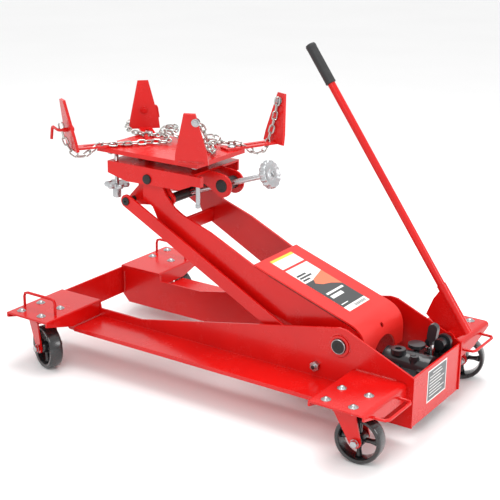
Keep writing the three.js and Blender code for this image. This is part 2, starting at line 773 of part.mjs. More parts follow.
// The corner arms: name, corner, and where each upright stands as modelled, from its bolt.
const CORNERS = [
  { name: "front_left", bolt: [CORNER_X[0], -CORNER_Y], reach: 108, turn: -120 },
  { name: "rear_left", bolt: [CORNER_X[1], -CORNER_Y], reach: 36, turn: -66 },
  { name: "rear_right", bolt: [CORNER_X[1], CORNER_Y], reach: 143, turn: 68 },
  { name: "front_right", bolt: [CORNER_X[0], CORNER_Y], reach: 83, turn: 137 },
];

// In a corner arm's frame X runs outwards along the bar from the bolt and Z is 0 at the bar's foot.
function cornerArm(reach) {
  const half = ARM_BAR_W / 2;
  const slotHalf = CORNER_BOLT_R + 0.5;
  const slot = join(
    block([reach - 152, reach - 32], [-slotHalf, slotHalf], [-1, ARM_BAR_T + 1]),
    upright(reach - 152, 0, -1, ARM_BAR_T + 1, slotHalf),
    upright(reach - 32, 0, -1, ARM_BAR_T + 1, slotHalf),
  );
  const bar = block([reach - 168, reach + POST_T], [-half, half], [0, ARM_BAR_T]);
  const outline = [
    [-POST_FOOT / 2, 0],
    [POST_FOOT / 2, 0],
    [POST_FOOT / 2 - 3, POST_H * 0.2],
    [POST_TIP / 2, POST_H],
    [-POST_TIP / 2, POST_H],
    [-POST_FOOT / 2 + 3, POST_H * 0.2],
  ];
  const shape = new THREE.Shape(outline.map(([y, z]) => new THREE.Vector2(y, z)));
  const blade = new THREE.ExtrudeGeometry(shape, { depth: POST_T, bevelEnabled: false });
  const stand = new THREE.Matrix4().makeBasis(at(0, 1, 0), at(0, 0, 1), at(1, 0, 0));
  const lean = POST_LEAN * RAD;
  // The foot's outer edge dips as the upright leans, so the upright starts that much higher.
  const dip = POST_T * Math.sin(lean);
  const post = solidOf(blade.applyMatrix4(stand).rotateY(lean).translate(reach, 0, dip));
  return join(cut(bar, slot), post);
}

function cornerBolt() {
  return join(
    upright(0, 0, -24, ARM_BAR_T + 1, CORNER_BOLT_R),
    upright(0, 0, ARM_BAR_T + GAP, ARM_BAR_T + 6, 12),
    upright(0, 0, -23, -SADDLE_SKIN - 2 * GAP, 10, 6),
  );
}

// A chain tensioner: a screw through the upright with a nut inside and a bent handle outside.
const TENSIONER_H = 58;
const TENSIONER_R = 6;
const TENSIONER_NUT = 3; // nut clear of the leaning upright's inner face

function tensionerHole(reach) {
  return rod(at(reach - 20, 0, TENSIONER_H), at(reach + 40, 0, TENSIONER_H), TENSIONER_R + SLACK);
}

function tensioner(reach) {
  const face = reach + POST_T + TENSIONER_H * Math.sin(POST_LEAN * RAD);
  const inner = face - POST_T - TENSIONER_NUT;
  const shaft = rod(at(inner - 8, 0, TENSIONER_H), at(face + 14, 0, TENSIONER_H), TENSIONER_R);
  const nut = rod(at(inner - 5, 0, TENSIONER_H), at(inner, 0, TENSIONER_H), 11);
  const crank = bentBar(
    [
      at(face + 8, 0, TENSIONER_H),
      at(face + 26, 0, TENSIONER_H),
      at(face + 30, -44, TENSIONER_H + 4),
      at(face + 32, -50, TENSIONER_H - 34),
    ],
    4.5,
    8,
  );
  return join(shaft, nut, crank);
}

// ---------------------------------------------------------------- power unit and handle
function powerUnit() {
  const z = PIVOT.z - LEVER;
  const barrel = rod(at(CYLINDER_FRONT, 0, z), at(CYLINDER_END, 0, z), CYLINDER_R);
  const body = join(
    block(BLOCK_X, BLOCK_Y, BLOCK_Z),
    barrel,
    upright(...PLUNGER_AT, BLOCK_Z[1] - 2, BLOCK_Z[1] + 10, PLUNGER_R + 6),
    upright(547, -22, BLOCK_Z[1] - 2, BLOCK_Z[1] + 34, 12),
    upright(496, -14, z + CYLINDER_R - 8, z + CYLINDER_R + 7, 20),
    upright(...RELEASE_AT, BLOCK_Z[1] - 2, BLOCK_Z[1] + 12, 12),
    upright(522, 42, BLOCK_Z[1] - 2, BLOCK_Z[1] + 34, 9),
    upright(522, 42, BLOCK_Z[1] + 32, BLOCK_Z[1] + 41, 24),
    block([PUMP_PIVOT.x - 22, BLOCK_X[1]], BRACKET_Y, [BLOCK_Z[0] + 12, PUMP_PIVOT.z]),
    across(PUMP_PIVOT.x, PUMP_PIVOT.z, ...BRACKET_Y, 22),
  );
  return cut(
    body,
    across(PUMP_PIVOT.x, PUMP_PIVOT.z, BRACKET_Y[0] - 5, BRACKET_Y[1] + 5, PUMP_SHAFT_R + SLACK),
    rod(at(CYLINDER_FRONT - 5, 0, z), at(CYLINDER_END - 5, 0, z), RAM_R + SLACK),
    upright(...PLUNGER_AT, BLOCK_Z[0] + 20, BLOCK_Z[1] + 20, PLUNGER_R + SLACK),
    upright(...RELEASE_AT, BLOCK_Z[0] + 30, BLOCK_Z[1] + 20, 6 + SLACK),
    upright(496, -14, z + CYLINDER_R, z + CYLINDER_R + 12, 9),
  );
}

function ram() {
  const z = PIVOT.z - LEVER;
  const nose = PIVOT.x + LEVER_PIN_R + 2;
  return join(rod(at(nose, 0, z), at(nose + 130, 0, z), RAM_R));
}

function pumpPlunger() {
  return join(
    upright(...PLUNGER_AT, BLOCK_Z[0] + 46, PUMP_PIVOT.z - 14, PLUNGER_R),
    upright(...PLUNGER_AT, PUMP_PIVOT.z - 22, PUMP_PIVOT.z - 14, PLUNGER_R + 3),
  );
}

// The pump's cross shaft with its lever: it runs through the right web to the handle outside.
function pumpLever() {
  const { x, z } = PUMP_PIVOT;
  const y = PLUNGER_AT[1];
  return join(
    across(x, z, y - 10, HANDLE_Y - 3, PUMP_SHAFT_R),
    across(x, z, y - 10, y + 14, 15),
    strap(at(x, 0, z), at(PLUNGER_AT[0], 0, z), 11, y - 10, y + 10),
  );
}

function releaseValve() {
  const [x, y] = RELEASE_AT;
  const spindle = upright(x, y, BLOCK_Z[0] + 60, 226, 6);
  return join(spindle, strap(at(x, 0, 222), at(x + 3, 0, 246), 13, y - 8, y + 8));
}

const handleDirection = at(-Math.sin(HANDLE_LEAN * RAD), 0, Math.cos(HANDLE_LEAN * RAD));
const alongHandle = (distance) => HANDLE_FOOT.clone().addScaledVector(handleDirection, distance);

function handleSocket() {
  const { x, z } = PUMP_PIVOT;
  const gusset = plate(
    [
      [x - 14, z - 6],
      [x, z - 15],
      [HANDLE_FOOT.x - 6, HANDLE_FOOT.z - 2],
      [alongHandle(140).x, alongHandle(140).z],
      [510, 280],
      [492, 233],
    ],
    HANDLE_Y - 11,
    HANDLE_Y - 5,
  );
  return cut(
    join(
      gusset,
      across(x, z, HANDLE_Y - 16, HANDLE_Y - 4, 15),
      rod(HANDLE_FOOT, alongHandle(SOCKET_LENGTH), SOCKET_R),
    ),
    rod(alongHandle(10), alongHandle(SOCKET_LENGTH + 5), HANDLE_R + SLACK),
    across(x, z, HANDLE_Y - 30, HANDLE_Y - 2, PUMP_SHAFT_R + SLACK),
  );
}

function handleTube() {
  return rod(alongHandle(12), alongHandle(HANDLE_LENGTH - 8), HANDLE_R);
}

function handleGrip() {
  const start = HANDLE_LENGTH - GRIP_LENGTH;
  return cut(
    join(
      rod(alongHandle(start), alongHandle(HANDLE_LENGTH - 6), GRIP_R),
      cone(alongHandle(HANDLE_LENGTH - 6), alongHandle(HANDLE_LENGTH), GRIP_R, GRIP_R - 5),
    ),
    rod(alongHandle(start - 5), alongHandle(HANDLE_LENGTH - 8 + GAP), HANDLE_R + SLACK),
  );
}

// ---------------------------------------------------------------- assembly
// The frame is built about the middle of the wheelbase, then centred on its overall length and set
// on its casters.
const REAR_END = WING_REAR[1] + LOOP_REACH + LOOP_R;
const root = new THREE.Group();
const jack = groupAt(root, at(-(WING_FRONT[0] + REAR_END) / 2, 0, CASTER_H - SWIVEL_TOP));
const SIDES = [
  ["left", -1],
  ["right", 1],
];

for (const [name, side] of SIDES) {
  add(jack, "side_rail_" + name, sideRail(side), RED);
  add(jack, "front_wing_" + name, frontWing(side), RED);
  add(jack, "rear_wing_" + name, rearWing(side), RED);
  add(jack, "link_bolt_" + name, linkBolt(side), ZINC);
}
add(jack, "front_cross_plate", frontCrossPlate(), RED);
add(jack, "rear_plate", rearPlate(), RED);
add(jack, "main_pivot_shaft", across(PIVOT.x, PIVOT.z, -WEB_OUT - 10, WEB_OUT + 10, PIVOT_R), BLACK);
add(jack, "power_unit", powerUnit(), BLACK);
add(jack, "ram", ram(), CHROME);
add(jack, "pump_plunger", pumpPlunger(), CHROME);
add(jack, "pump_lever", pumpLever(), BLACK);
add(jack, "release_valve", releaseValve(), CHROME);
add(jack, "handle_socket", handleSocket(), RED);
add(jack, "handle_tube", handleTube(), RED);
add(jack, "handle_grip", handleGrip(), RUBBER);

const CASTERS = [
  { name: "front_left", x: -KINGPIN_X, y: -KINGPIN_Y, turn: -21.7 },
  { name: "front_right", x: -KINGPIN_X, y: KINGPIN_Y, turn: -9 },
  { name: "rear_left", x: KINGPIN_X, y: -KINGPIN_Y, turn: 5 },
  { name: "rear_right", x: KINGPIN_X, y: KINGPIN_Y, turn: 15.6 },
];
for (const { name, x, y, turn } of CASTERS) {
  const caster = groupAt(jack, at(x, y, SWIVEL_TOP - CASTER_H));
  caster.rotation.z = turn * RAD;
  add(groupAt(jack, at(x, y, 0)), "caster_plate_" + name, casterPlate(), RED);
  add(caster, "caster_fork_" + name, casterFork(), RED);
  const wheel = add(caster, "caster_wheel_" + name, casterWheel(), RUBBER);
  wheel.position.set(TRAIL, 0, WHEEL_R);
}

const arm = groupAt(jack, PIVOT, LIFT_ANGLE * RAD);
for (const [name, side] of SIDES) add(arm, "arm_side_" + name, armSide(side), RED);
add(arm, "arm_hub", armHub(), RED);
add(arm, "arm_brace", armBrace(), RED);
add(arm, "arm_cover", armCover(), RED);

const links = groupAt(jack, PIVOT.clone().add(LINK_DROP), LIFT_ANGLE * RAD);
for (const [name, side] of SIDES) add(links, "level_link_" + name, levelLink(side), RED);
add(links, "link_shaft", linkShaft(), BLACK);

const head = groupAt(
  jack,
  PIVOT.clone().add(at(-ARM * Math.cos(LIFT_ANGLE * RAD), 0, ARM * Math.sin(LIFT_ANGLE * RAD))),
);
add(head, "head_shaft", headShaft(), BLACK);
add(head, "level_bracket", levelBracket(), RED);
add(head, "front_trunnion", frontTrunnion(), BLACK);
add(head, "rear_trunnion", rearTrunnion(), BLACK);
add(head, "tilt_screw", tiltScrew(), CHROME);
add(head, "tilt_knob", tiltKnob(), ALUMINIUM);
add(head, "tilt_channel", tiltChannel(), RED);
add(head, "side_tilt_screw", sideTiltScrew(), CHROME);
add(head, "star_knob", starKnob(), ALUMINIUM);
add(head, "stop_bolt", stopBolt(), ZINC);
add(head, "saddle_plate", saddlePlate(), RED);

for (const { name, bolt, reach, turn } of CORNERS) {
  const corner = groupAt(head, at(bolt[0], bolt[1], SADDLE_BOTTOM + SADDLE_T + GAP));
  corner.rotation.z = turn * RAD;
  const hasTensioner = name.startsWith("front");
  const body = hasTensioner ? cut(cornerArm(reach), tensionerHole(reach)) : cornerArm(reach);
  add(corner, "corner_arm_" + name, body, RED);
  add(corner, "corner_bolt_" + name, cornerBolt(), ZINC);
  if (hasTensioner) add(corner, "tensioner_" + name, tensioner(reach), RED);
}

export default root;
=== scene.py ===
"""Looks for a low-profile transmission jack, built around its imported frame.

Every length is in metres and every place comes from the frame: the boxes of its nodes and the
places of its joints. The jack stands with the saddle end towards -X and the pump towards +X.
"""

import json
import logging
import math
from dataclasses import dataclass, field
from enum import Enum
from typing import Callable, Iterable, Sequence

import bmesh
import bpy
from mathutils import Matrix, Quaternion, Vector


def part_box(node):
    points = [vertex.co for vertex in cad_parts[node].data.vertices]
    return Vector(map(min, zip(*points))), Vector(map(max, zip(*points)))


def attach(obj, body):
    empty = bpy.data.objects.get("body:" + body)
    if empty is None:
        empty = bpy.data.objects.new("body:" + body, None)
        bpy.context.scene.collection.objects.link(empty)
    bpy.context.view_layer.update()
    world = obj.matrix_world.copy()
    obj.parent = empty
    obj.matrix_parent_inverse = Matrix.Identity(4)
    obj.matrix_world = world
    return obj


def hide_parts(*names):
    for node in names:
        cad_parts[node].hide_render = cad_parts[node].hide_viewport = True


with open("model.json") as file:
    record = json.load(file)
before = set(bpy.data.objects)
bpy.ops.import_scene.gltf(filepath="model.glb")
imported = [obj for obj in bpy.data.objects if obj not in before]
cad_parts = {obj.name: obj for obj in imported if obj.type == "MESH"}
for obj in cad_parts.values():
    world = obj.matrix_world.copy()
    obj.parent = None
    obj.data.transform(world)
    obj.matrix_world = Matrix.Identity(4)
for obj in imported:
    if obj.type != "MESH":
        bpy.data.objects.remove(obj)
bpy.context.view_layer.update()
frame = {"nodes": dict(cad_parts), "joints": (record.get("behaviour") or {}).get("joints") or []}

LOG = logging.getLogger("transmission_jack")
MM = 0.001
LEFT, RIGHT = -1, 1
CORNERS = ("front_left", "front_right", "rear_left", "rear_right")
JOINTS = {joint["name"]: joint for joint in frame["joints"]}


def place_of(joint: str) -> Vector:
    """Gives where a joint's axis stands."""
    return Vector(JOINTS[joint]["pos_m"])


def axis_of(joint: str) -> Vector:
    """Gives a joint's axis as a unit vector."""
    return Vector(JOINTS[joint]["axis"]).normalized()


def middle_of(node: str) -> Vector:
    """Gives the middle of a node's box."""
    low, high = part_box(node)
    return (low + high) / 2


@dataclass(frozen=True)
class Bar:
    """A straight round bar: its two ends and its radius."""

    start: Vector
    end: Vector
    radius: float

    @property
    def axis(self) -> Vector:
        """The way from the start to the end."""
        return (self.end - self.start).normalized()

    @property
    def length(self) -> float:
        """The distance from the start to the end."""
        return (self.end - self.start).length


def bar_of(node: str) -> Bar:
    """Measures a round bar's node, which has a ring of points at each end.

    Args:
        node: the node's name.

    Returns:
        The bar, from its lower end to its upper one.
    """
    corners = [v.co for v in frame["nodes"][node].data.vertices]
    level = (min(c.z for c in corners) + max(c.z for c in corners)) / 2
    halves = [[c for c in corners if c.z < level], [c for c in corners if c.z >= level]]
    low, high = (sum(half, Vector()) / len(half) for half in halves)
    axis = (high - low).normalized()
    along = [(c - low).dot(axis) for c in corners]
    radius = max(((c - low) - axis * (c - low).dot(axis)).length for c in corners)
    return Bar(low + axis * min(along), low + axis * max(along), radius)


@dataclass(frozen=True)
class Upright:
    """A corner arm's upright: its directions, and a point and the normal of its inner face."""

    out: Vector
    across: Vector
    foot: Vector
    normal: Vector
    thickness: float

    def inner(self, rise: float, aside: float = 0.0) -> Vector:
        """Gives a point on the inner face, from its height over the bolt's seat and its offset."""
        point = self.foot + self.across * aside
        point.z += rise
        depth = (self.foot - point).dot(self.normal) / self.out.dot(self.normal)
        return point + self.out * depth

    def outer(self, rise: float, aside: float = 0.0) -> Vector:
        """Gives a point on the outer face."""
        return self.inner(rise, aside) - self.normal * self.thickness


def upright_of(corner: str) -> Upright:
    """Measures a corner arm's upright.

    Args:
        corner: the corner's name.

    Returns:
        The upright, with its foot on the level of the arm's bolt.
    """
    out = axis_of(f"slide_{corner}")
    across = Vector((0, 0, 1)).cross(out)
    seat = place_of(f"swing_{corner}")
    faces = frame["nodes"][f"corner_arm_{corner}"].data.polygons
    inward = max((f for f in faces if f.normal.dot(out) < -0.9), key=lambda f: f.area)
    outward = max((f for f in faces if f.normal.dot(out) > 0.9), key=lambda f: f.area)
    normal = inward.normal.copy()
    depth = (inward.center - seat).dot(normal) / out.dot(normal)
    thickness = abs((outward.center - inward.center).dot(normal))
    return Upright(out, across, seat + out * depth, normal, thickness)


# ------------------------------------------------------------------ shader maths
class Value:
    """A shader socket that can be used in a Python expression."""

    def __init__(self, tree: bpy.types.NodeTree, socket: bpy.types.NodeSocket) -> None:
        """Wraps one output socket of a tree."""
        self.tree = tree
        self.socket = socket

    def _math(self, operation: str, first: object, second: object) -> "Value":
        """Adds a Math node.

        Args:
            operation: the Math node's operation.
            first: a Value or a number.
            second: a Value or a number.

        Returns:
            The node's result.
        """
        node = self.tree.nodes.new("ShaderNodeMath")
        node.operation = operation
        for socket, given in zip(node.inputs, (first, second)):
            if isinstance(given, Value):
                self.tree.links.new(given.socket, socket)
            else:
                socket.default_value = float(given)
        return Value(self.tree, node.outputs[0])

    def __add__(self, other: object) -> "Value":
        """Adds."""
        return self._math("ADD", self, other)

    __radd__ = __add__

    def __sub__(self, other: object) -> "Value":
        """Subtracts."""
        return self._math("SUBTRACT", self, other)

    def __rsub__(self, other: object) -> "Value":
        """Subtracts this from another."""
        return self._math("SUBTRACT", other, self)

    def __mul__(self, other: object) -> "Value":
        """Multiplies."""
        return self._math("MULTIPLY", self, other)

    __rmul__ = __mul__

    def clamped(self) -> "Value":
        """Holds this between 0 and 1."""
        return self._math("MINIMUM", self._math("MAXIMUM", self, 0.0), 1.0)


class Material:
    """A node material on one Principled shader."""

    def __init__(self, name: str) -> None:
        """Makes an empty material with its shader."""
        self.data = bpy.data.materials.new(name)
        self.data.use_nodes = True
        self.tree = self.data.node_tree
        self.shader = self.tree.nodes["Principled BSDF"]
        self.place = self.node("ShaderNodeTexCoord").outputs["Object"]

    def node(self, kind: str, settings: dict | None = None, sockets: dict | None = None) -> bpy.types.Node:
        """Adds any other node.

        Args:
            kind: the node's type.
            settings: attributes set before anything else.
            sockets: values or links by the input's name.

        Returns:
            The new node.
        """
        made = self.tree.nodes.new(kind)
        for key, given in (settings or {}).items():
            setattr(made, key, given)
        for key, given in (sockets or {}).items():
            self.feed(made.inputs[key], given)
        return made

    def feed(self, socket: bpy.types.NodeSocket, given: object) -> None:
        """Links or sets one input socket.

        Args:
            socket: the input.
            given: a Value, an output socket, or a plain value.
        """
        if isinstance(given, Value):
            self.tree.links.new(given.socket, socket)
        elif isinstance(given, bpy.types.NodeSocket):
            self.tree.links.new(given, socket)
        else:
            socket.default_value = given

    def noise(self, scale: float, detail: float = 3.0, stretch: Sequence[float] = (1, 1, 1)) -> Value:
        """Gives a noise pattern fixed to the piece.

        Args:
            scale: cycles per metre.
            detail: octaves.
            stretch: how much faster the pattern runs along X, Y and Z.

        Returns:
            The noise, from 0 to 1.
        """
        mapping = self.node("ShaderNodeMapping", {}, {"Vector": self.place, "Scale": tuple(stretch)})
        made = self.node(
            "ShaderNodeTexNoise", {}, {"Vector": mapping.outputs[0], "Scale": scale, "Detail": detail}
        )
        return Value(self.tree, made.outputs["Fac"])

    def blend(self, factor: Value, first: object, second: object) -> bpy.types.NodeSocket:
        """Mixes two colours by a factor.

        Args:
            factor: 0 for the first colour and 1 for the second.
            first: a colour or a socket.
            second: a colour or a socket.

        Returns:
            The mixed colour's socket.
        """
        made = self.node("ShaderNodeMix", {"data_type": "RGBA"}, {"Factor": factor})
        self.feed(made.inputs[6], first)
        self.feed(made.inputs[7], second)
        return made.outputs[2]

    def bump(self, height: Value, depth: float, strength: float = 1.0) -> None:
        """Feeds the shader's normal from a height.

        Args:
            height: the relief, from 0 to 1.
            depth: metres from low to high.
            strength: share of the relief that shows.
        """
        made = self.node("ShaderNodeBump", {}, {"Height": height, "Distance": depth, "Strength": strength})
        self.feed(self.shader.inputs["Normal"], made.outputs[0])

    def set(self, **given: object) -> "Material":
        """Sets or links the shader's own sockets, by name with _ for a space."""
        for key, value in given.items():
            self.feed(self.shader.inputs[key.replace("_", " ")], value)
        return self


def rgb(red: float, green: float, blue: float) -> tuple[float, float, float, float]:
    """Gives an opaque colour."""
    return (red, green, blue, 1.0)


# ------------------------------------------------------------------ finishes
@dataclass(frozen=True)
class PaintFinish:
    """Glossy powder coat with a faint orange peel, thin dust and dulled patches."""

    name: str
    colour: tuple[float, float, float]
    shade: tuple[float, float, float]
    gloss: float = 0.2
    coat: float = 0.35
    peel: float = 260.0

    def make(self) -> bpy.types.Material:
        """Builds the material.

        Returns:
            The finished material.
        """
        m = Material(self.name)
        cloud = m.noise(5.0, 4.0)
        grit = m.noise(420.0, 2.0)
        dust = ((m.noise(16.0, 5.0) - 0.52) * 4.0).clamped() * ((grit - 0.35) * 1.6).clamped()
        base = m.blend((cloud * 1.7 - 0.35).clamped(), rgb(*self.shade), rgb(*self.colour))
        dusted = m.blend(dust * 0.035, base, rgb(0.62, 0.5, 0.46))
        m.bump(m.noise(self.peel, 1.5), 0.00012, 0.35)
        m.set(
            Base_Color=dusted,
            Roughness=dust * 0.22 + cloud * 0.06 + self.gloss,
            Coat_Weight=self.coat,
            Coat_Roughness=0.06,
            IOR=1.4,
        )
        return m.data


@dataclass(frozen=True)
class MetalFinish:
    """Bare or plated metal, with a directional or cast grain and a little tarnish."""

    name: str
    colour: tuple[float, float, float]
    tarnish: tuple[float, float, float]
    roughness: float
    metallic: float = 1.0
    grain: float = 160.0
    stretch: tuple[float, float, float] = (1.0, 1.0, 1.0)
    relief: float = 0.00005
    tarnished: float = 0.5

    def make(self) -> bpy.types.Material:
        """Builds the material.

        Returns:
            The finished material.
        """
        m = Material(self.name)
        streak = m.noise(self.grain, 4.0, self.stretch)
        stain = ((m.noise(22.0, 5.0) - 0.46) * 3.0).clamped() * self.tarnished
        m.bump(streak, self.relief, 0.5)
        m.set(
            Base_Color=m.blend(stain, rgb(*self.colour), rgb(*self.tarnish)),
            Metallic=self.metallic,
            Roughness=(streak * 0.16 + stain * 0.22 + (self.roughness - 0.08)).clamped(),
        )
        return m.data


@dataclass(frozen=True)
class MouldedFinish:
    """Moulded rubber or plastic with a fine grain and scuffs."""

    name: str
    colour: tuple[float, float, float]
    scuff: tuple[float, float, float]
    roughness: float
    coat: float = 0.0
    grain: float = 900.0
    relief: float = 0.0001

    def make(self) -> bpy.types.Material:
        """Builds the material.

        Returns:
            The finished material.
        """
        m = Material(self.name)
        grain = m.noise(self.grain, 2.0)
        worn = ((m.noise(34.0, 6.0) - 0.55) * 5.0).clamped()
        m.bump(grain, self.relief, 0.4)
        m.set(
            Base_Color=m.blend(worn * 0.5, rgb(*self.colour), rgb(*self.scuff)),
            Roughness=grain * 0.1 + worn * 0.18 + self.roughness,
            Coat_Weight=self.coat,
            Coat_Roughness=0.12,
        )
        return m.data


@dataclass(frozen=True)
class PrintFinish:
    """Ink on a stuck-down vinyl label."""

    name: str
    colour: tuple[float, float, float]
    roughness: float = 0.3

    def make(self) -> bpy.types.Material:
        """Builds the material.

        Returns:
            The finished material.
        """
        m = Material(self.name)
        fade = m.noise(9.0, 3.0)
        speck = ((m.noise(700.0, 1.0) - 0.66) * 6.0).clamped()
        faded = tuple(c * 0.86 + 0.03 for c in self.colour)
        m.bump(m.noise(90.0, 2.0), 0.00008, 0.25)
        m.set(
            Base_Color=m.blend((fade * 0.8 + speck * 0.4).clamped(), rgb(*self.colour), rgb(*faded)),
            Roughness=fade * 0.1 + self.roughness,
            Coat_Weight=0.2,
        )
        return m.data


@dataclass(frozen=True)
class FloorFinish:
    """Plain pale studio floor."""

    name: str = "studio_floor"

    def make(self) -> bpy.types.Material:
        """Builds the material.

        Returns:
            The finished material.
        """
        m = Material(self.name)
        tone = m.noise(1.2, 2.0)
        m.set(Base_Color=m.blend(tone, rgb(0.9, 0.9, 0.9), rgb(0.94, 0.94, 0.94)), Roughness=0.7)
        return m.data


class Look(Enum):
    """The finishes on the jack."""

    RED = PaintFinish("red_powder_coat", (0.66, 0.005, 0.003), (0.5, 0.002, 0.002), 0.22, 0.1)
    # The cover's red is a lighter, pinker copy of the red paint: a painted sheen standing for the pale room's
    # reflection on the cover's upward-facing top.
    SHEEN_COVER_RED = PaintFinish("cover_red_with_painted_sheen", (0.74, 0.02, 0.014), (0.64, 0.012, 0.009), 0.36, 0.1)
    BLACK = MetalFinish(
        "black_oxide", (0.016, 0.016, 0.018), (0.035, 0.032, 0.03), 0.34, 0.35, 300.0, relief=0.00008
    )
    PUMP_BLACK = PaintFinish(
        "pump_black_enamel", (0.013, 0.014, 0.016), (0.02, 0.021, 0.024), 0.26, 0.4, 180.0
    )
    ZINC = MetalFinish("zinc_plate", (0.42, 0.43, 0.44), (0.3, 0.28, 0.23), 0.28, tarnished=0.35)
    CHAIN = MetalFinish("chain_zinc", (0.5, 0.5, 0.48), (0.3, 0.28, 0.24), 0.24, tarnished=0.5)
    CHROME = MetalFinish(
        "hard_chrome", (0.6, 0.61, 0.62), (0.4, 0.4, 0.4), 0.14, grain=500.0, relief=0.00002, tarnished=0.15
    )
    ALUMINIUM = MetalFinish(
        "cast_aluminium", (0.6, 0.6, 0.59), (0.38, 0.37, 0.35), 0.3, grain=240.0, relief=0.00018
    )
    WELD = PaintFinish("painted_weld", (0.7, 0.03, 0.025), (0.55, 0.01, 0.008), 0.1, 1.0, 700.0)
    WHEEL = MouldedFinish("gloss_black_wheel", (0.012, 0.012, 0.013), (0.05, 0.05, 0.052), 0.22, 0.45)
    GRIP = MouldedFinish("black_grip", (0.017, 0.017, 0.018), (0.05, 0.05, 0.05), 0.5, 0.05, 600.0, 0.00025)
    # Near-black colour for the weld under the cover's edge: painted shade beneath the cover's overhang.
    SHADED_WELD = MouldedFinish("weld_in_painted_shade", (0.02, 0.009, 0.008), (0.05, 0.02, 0.018), 0.5)
    INK_WHITE = PrintFinish("label_white", (0.86, 0.86, 0.84))
    INK_GREY = PrintFinish("label_charcoal", (0.022, 0.023, 0.025))
    INK_ORANGE = PrintFinish("label_orange", (0.83, 0.16, 0.06))
    INK_YELLOW = PrintFinish("label_yellow", (0.9, 0.6, 0.03))
    INK_STEEL = PrintFinish("label_steel", (0.07, 0.08, 0.085))
    FLOOR = FloorFinish()

    @property
    def material(self) -> bpy.types.Material:
        """The built material, made once."""
        return bpy.data.materials.get(self.value.name) or self.value.make()


# ------------------------------------------------------------------ meshes
def new_object(name: str, mesh: bpy.types.Mesh, looks: Sequence[Look]) -> bpy.types.Object:
    """Puts a mesh in the scene with its materials.

    Args:
        name: the piece's name.
        mesh: its mesh, with its place in its points.
        looks: the finishes, in the order of the faces' material indices.

    Returns:
        The new object.
    """
    piece = bpy.data.objects.new(name, mesh)
    bpy.context.scene.collection.objects.link(piece)
    if not mesh.materials:
        for look in looks:
            mesh.materials.append(look.material)
    return piece


def apply_modifiers(piece: bpy.types.Object) -> None:
    """Turns a piece's modifiers into plain mesh."""
    depsgraph = bpy.context.evaluated_depsgraph_get()
    made = bpy.data.meshes.new_from_object(piece.evaluated_get(depsgraph), depsgraph=depsgraph)
    old = piece.data
    piece.modifiers.clear()
    piece.data = made
    if old.users == 0:
        bpy.data.meshes.remove(old)


def finish_edges(piece: bpy.types.Object, width: float, angle: float = 32.0, segments: int = 2) -> None:
    """Rounds the sharp edges of a piece and smooths what lies between.

    Args:
        piece: the piece to finish.
        width: the round's size.
        angle: edges sharper than this, in degrees, are rounded.
        segments: faces across a round.
    """
    bevel = piece.modifiers.new("round", "BEVEL")
    bevel.width = width
    bevel.segments = segments
    bevel.limit_method = "ANGLE"
    bevel.angle_limit = math.radians(angle)
    bevel.use_clamp_overlap = True
    apply_modifiers(piece)
    smooth(piece, angle)


def smooth(piece: bpy.types.Object, angle: float = 32.0) -> None:
    """Shades a piece smooth, with its flat faces kept flat and its sharp edges sharp."""
    mesh = piece.data
    mesh.shade_smooth()
    mesh.set_sharp_from_angle(angle=math.radians(angle + 8))
    weighted = piece.modifiers.new("flats", "WEIGHTED_NORMAL")
    weighted.keep_sharp = True
    weighted.weight = 100
    apply_modifiers(piece)


def from_bmesh(name: str, shape: bmesh.types.BMesh, *looks: Look) -> bpy.types.Object:
    """Turns a bmesh into a piece with its normals out.

    Args:
        name: the piece's name.
        shape: the bmesh, which is freed.
        looks: the piece's finishes.

    Returns:
        The new piece.
    """
    bmesh.ops.recalc_face_normals(shape, faces=shape.faces)
    mesh = bpy.data.meshes.new(name)
    shape.to_mesh(mesh)
    shape.free()
    return new_object(name, mesh, looks)


def dress(node: str, look: Look, width: float = 0.0012, segments: int = 2) -> bpy.types.Object:
    """Makes a finished copy of a node with rounded edges, which stands for it.

    Args:
        node: the node's name.
        look: its finish.
        width: size of the rounded edges.
        segments: faces across a round.

    Returns:
        The piece that stands for the node.
    """
    shape = bmesh.new()
    shape.from_mesh(frame["nodes"][node].data)
    bmesh.ops.remove_doubles(shape, verts=shape.verts, dist=2e-5)
    bmesh.ops.dissolve_limit(shape, angle_limit=math.radians(0.6), verts=shape.verts, edges=shape.edges)
    piece = from_bmesh(node + "_piece", shape, look)
    finish_edges(piece, width, segments=segments)
    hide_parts(node)
    return piece


def bridge(shape: bmesh.types.BMesh, first: list, second: list, index: int = 0) -> None:
    """Joins two rings of points with faces.

    Args:
        shape: the bmesh to add to.
        first: one ring.
        second: the next ring.
        index: the faces' material.
    """
    count = len(first)
    for i in range(count):
        j = (i + 1) % count
        shape.faces.new((first[i], first[j], second[j], second[i])).material_index = index


def axis_matrix(place: Vector, axis: Vector) -> Matrix:
    """Gives the turn and move that takes the Z axis to an axis through a place."""
    return Matrix.Translation(place) @ Vector((0, 0, 1)).rotation_difference(axis).to_matrix().to_4x4()


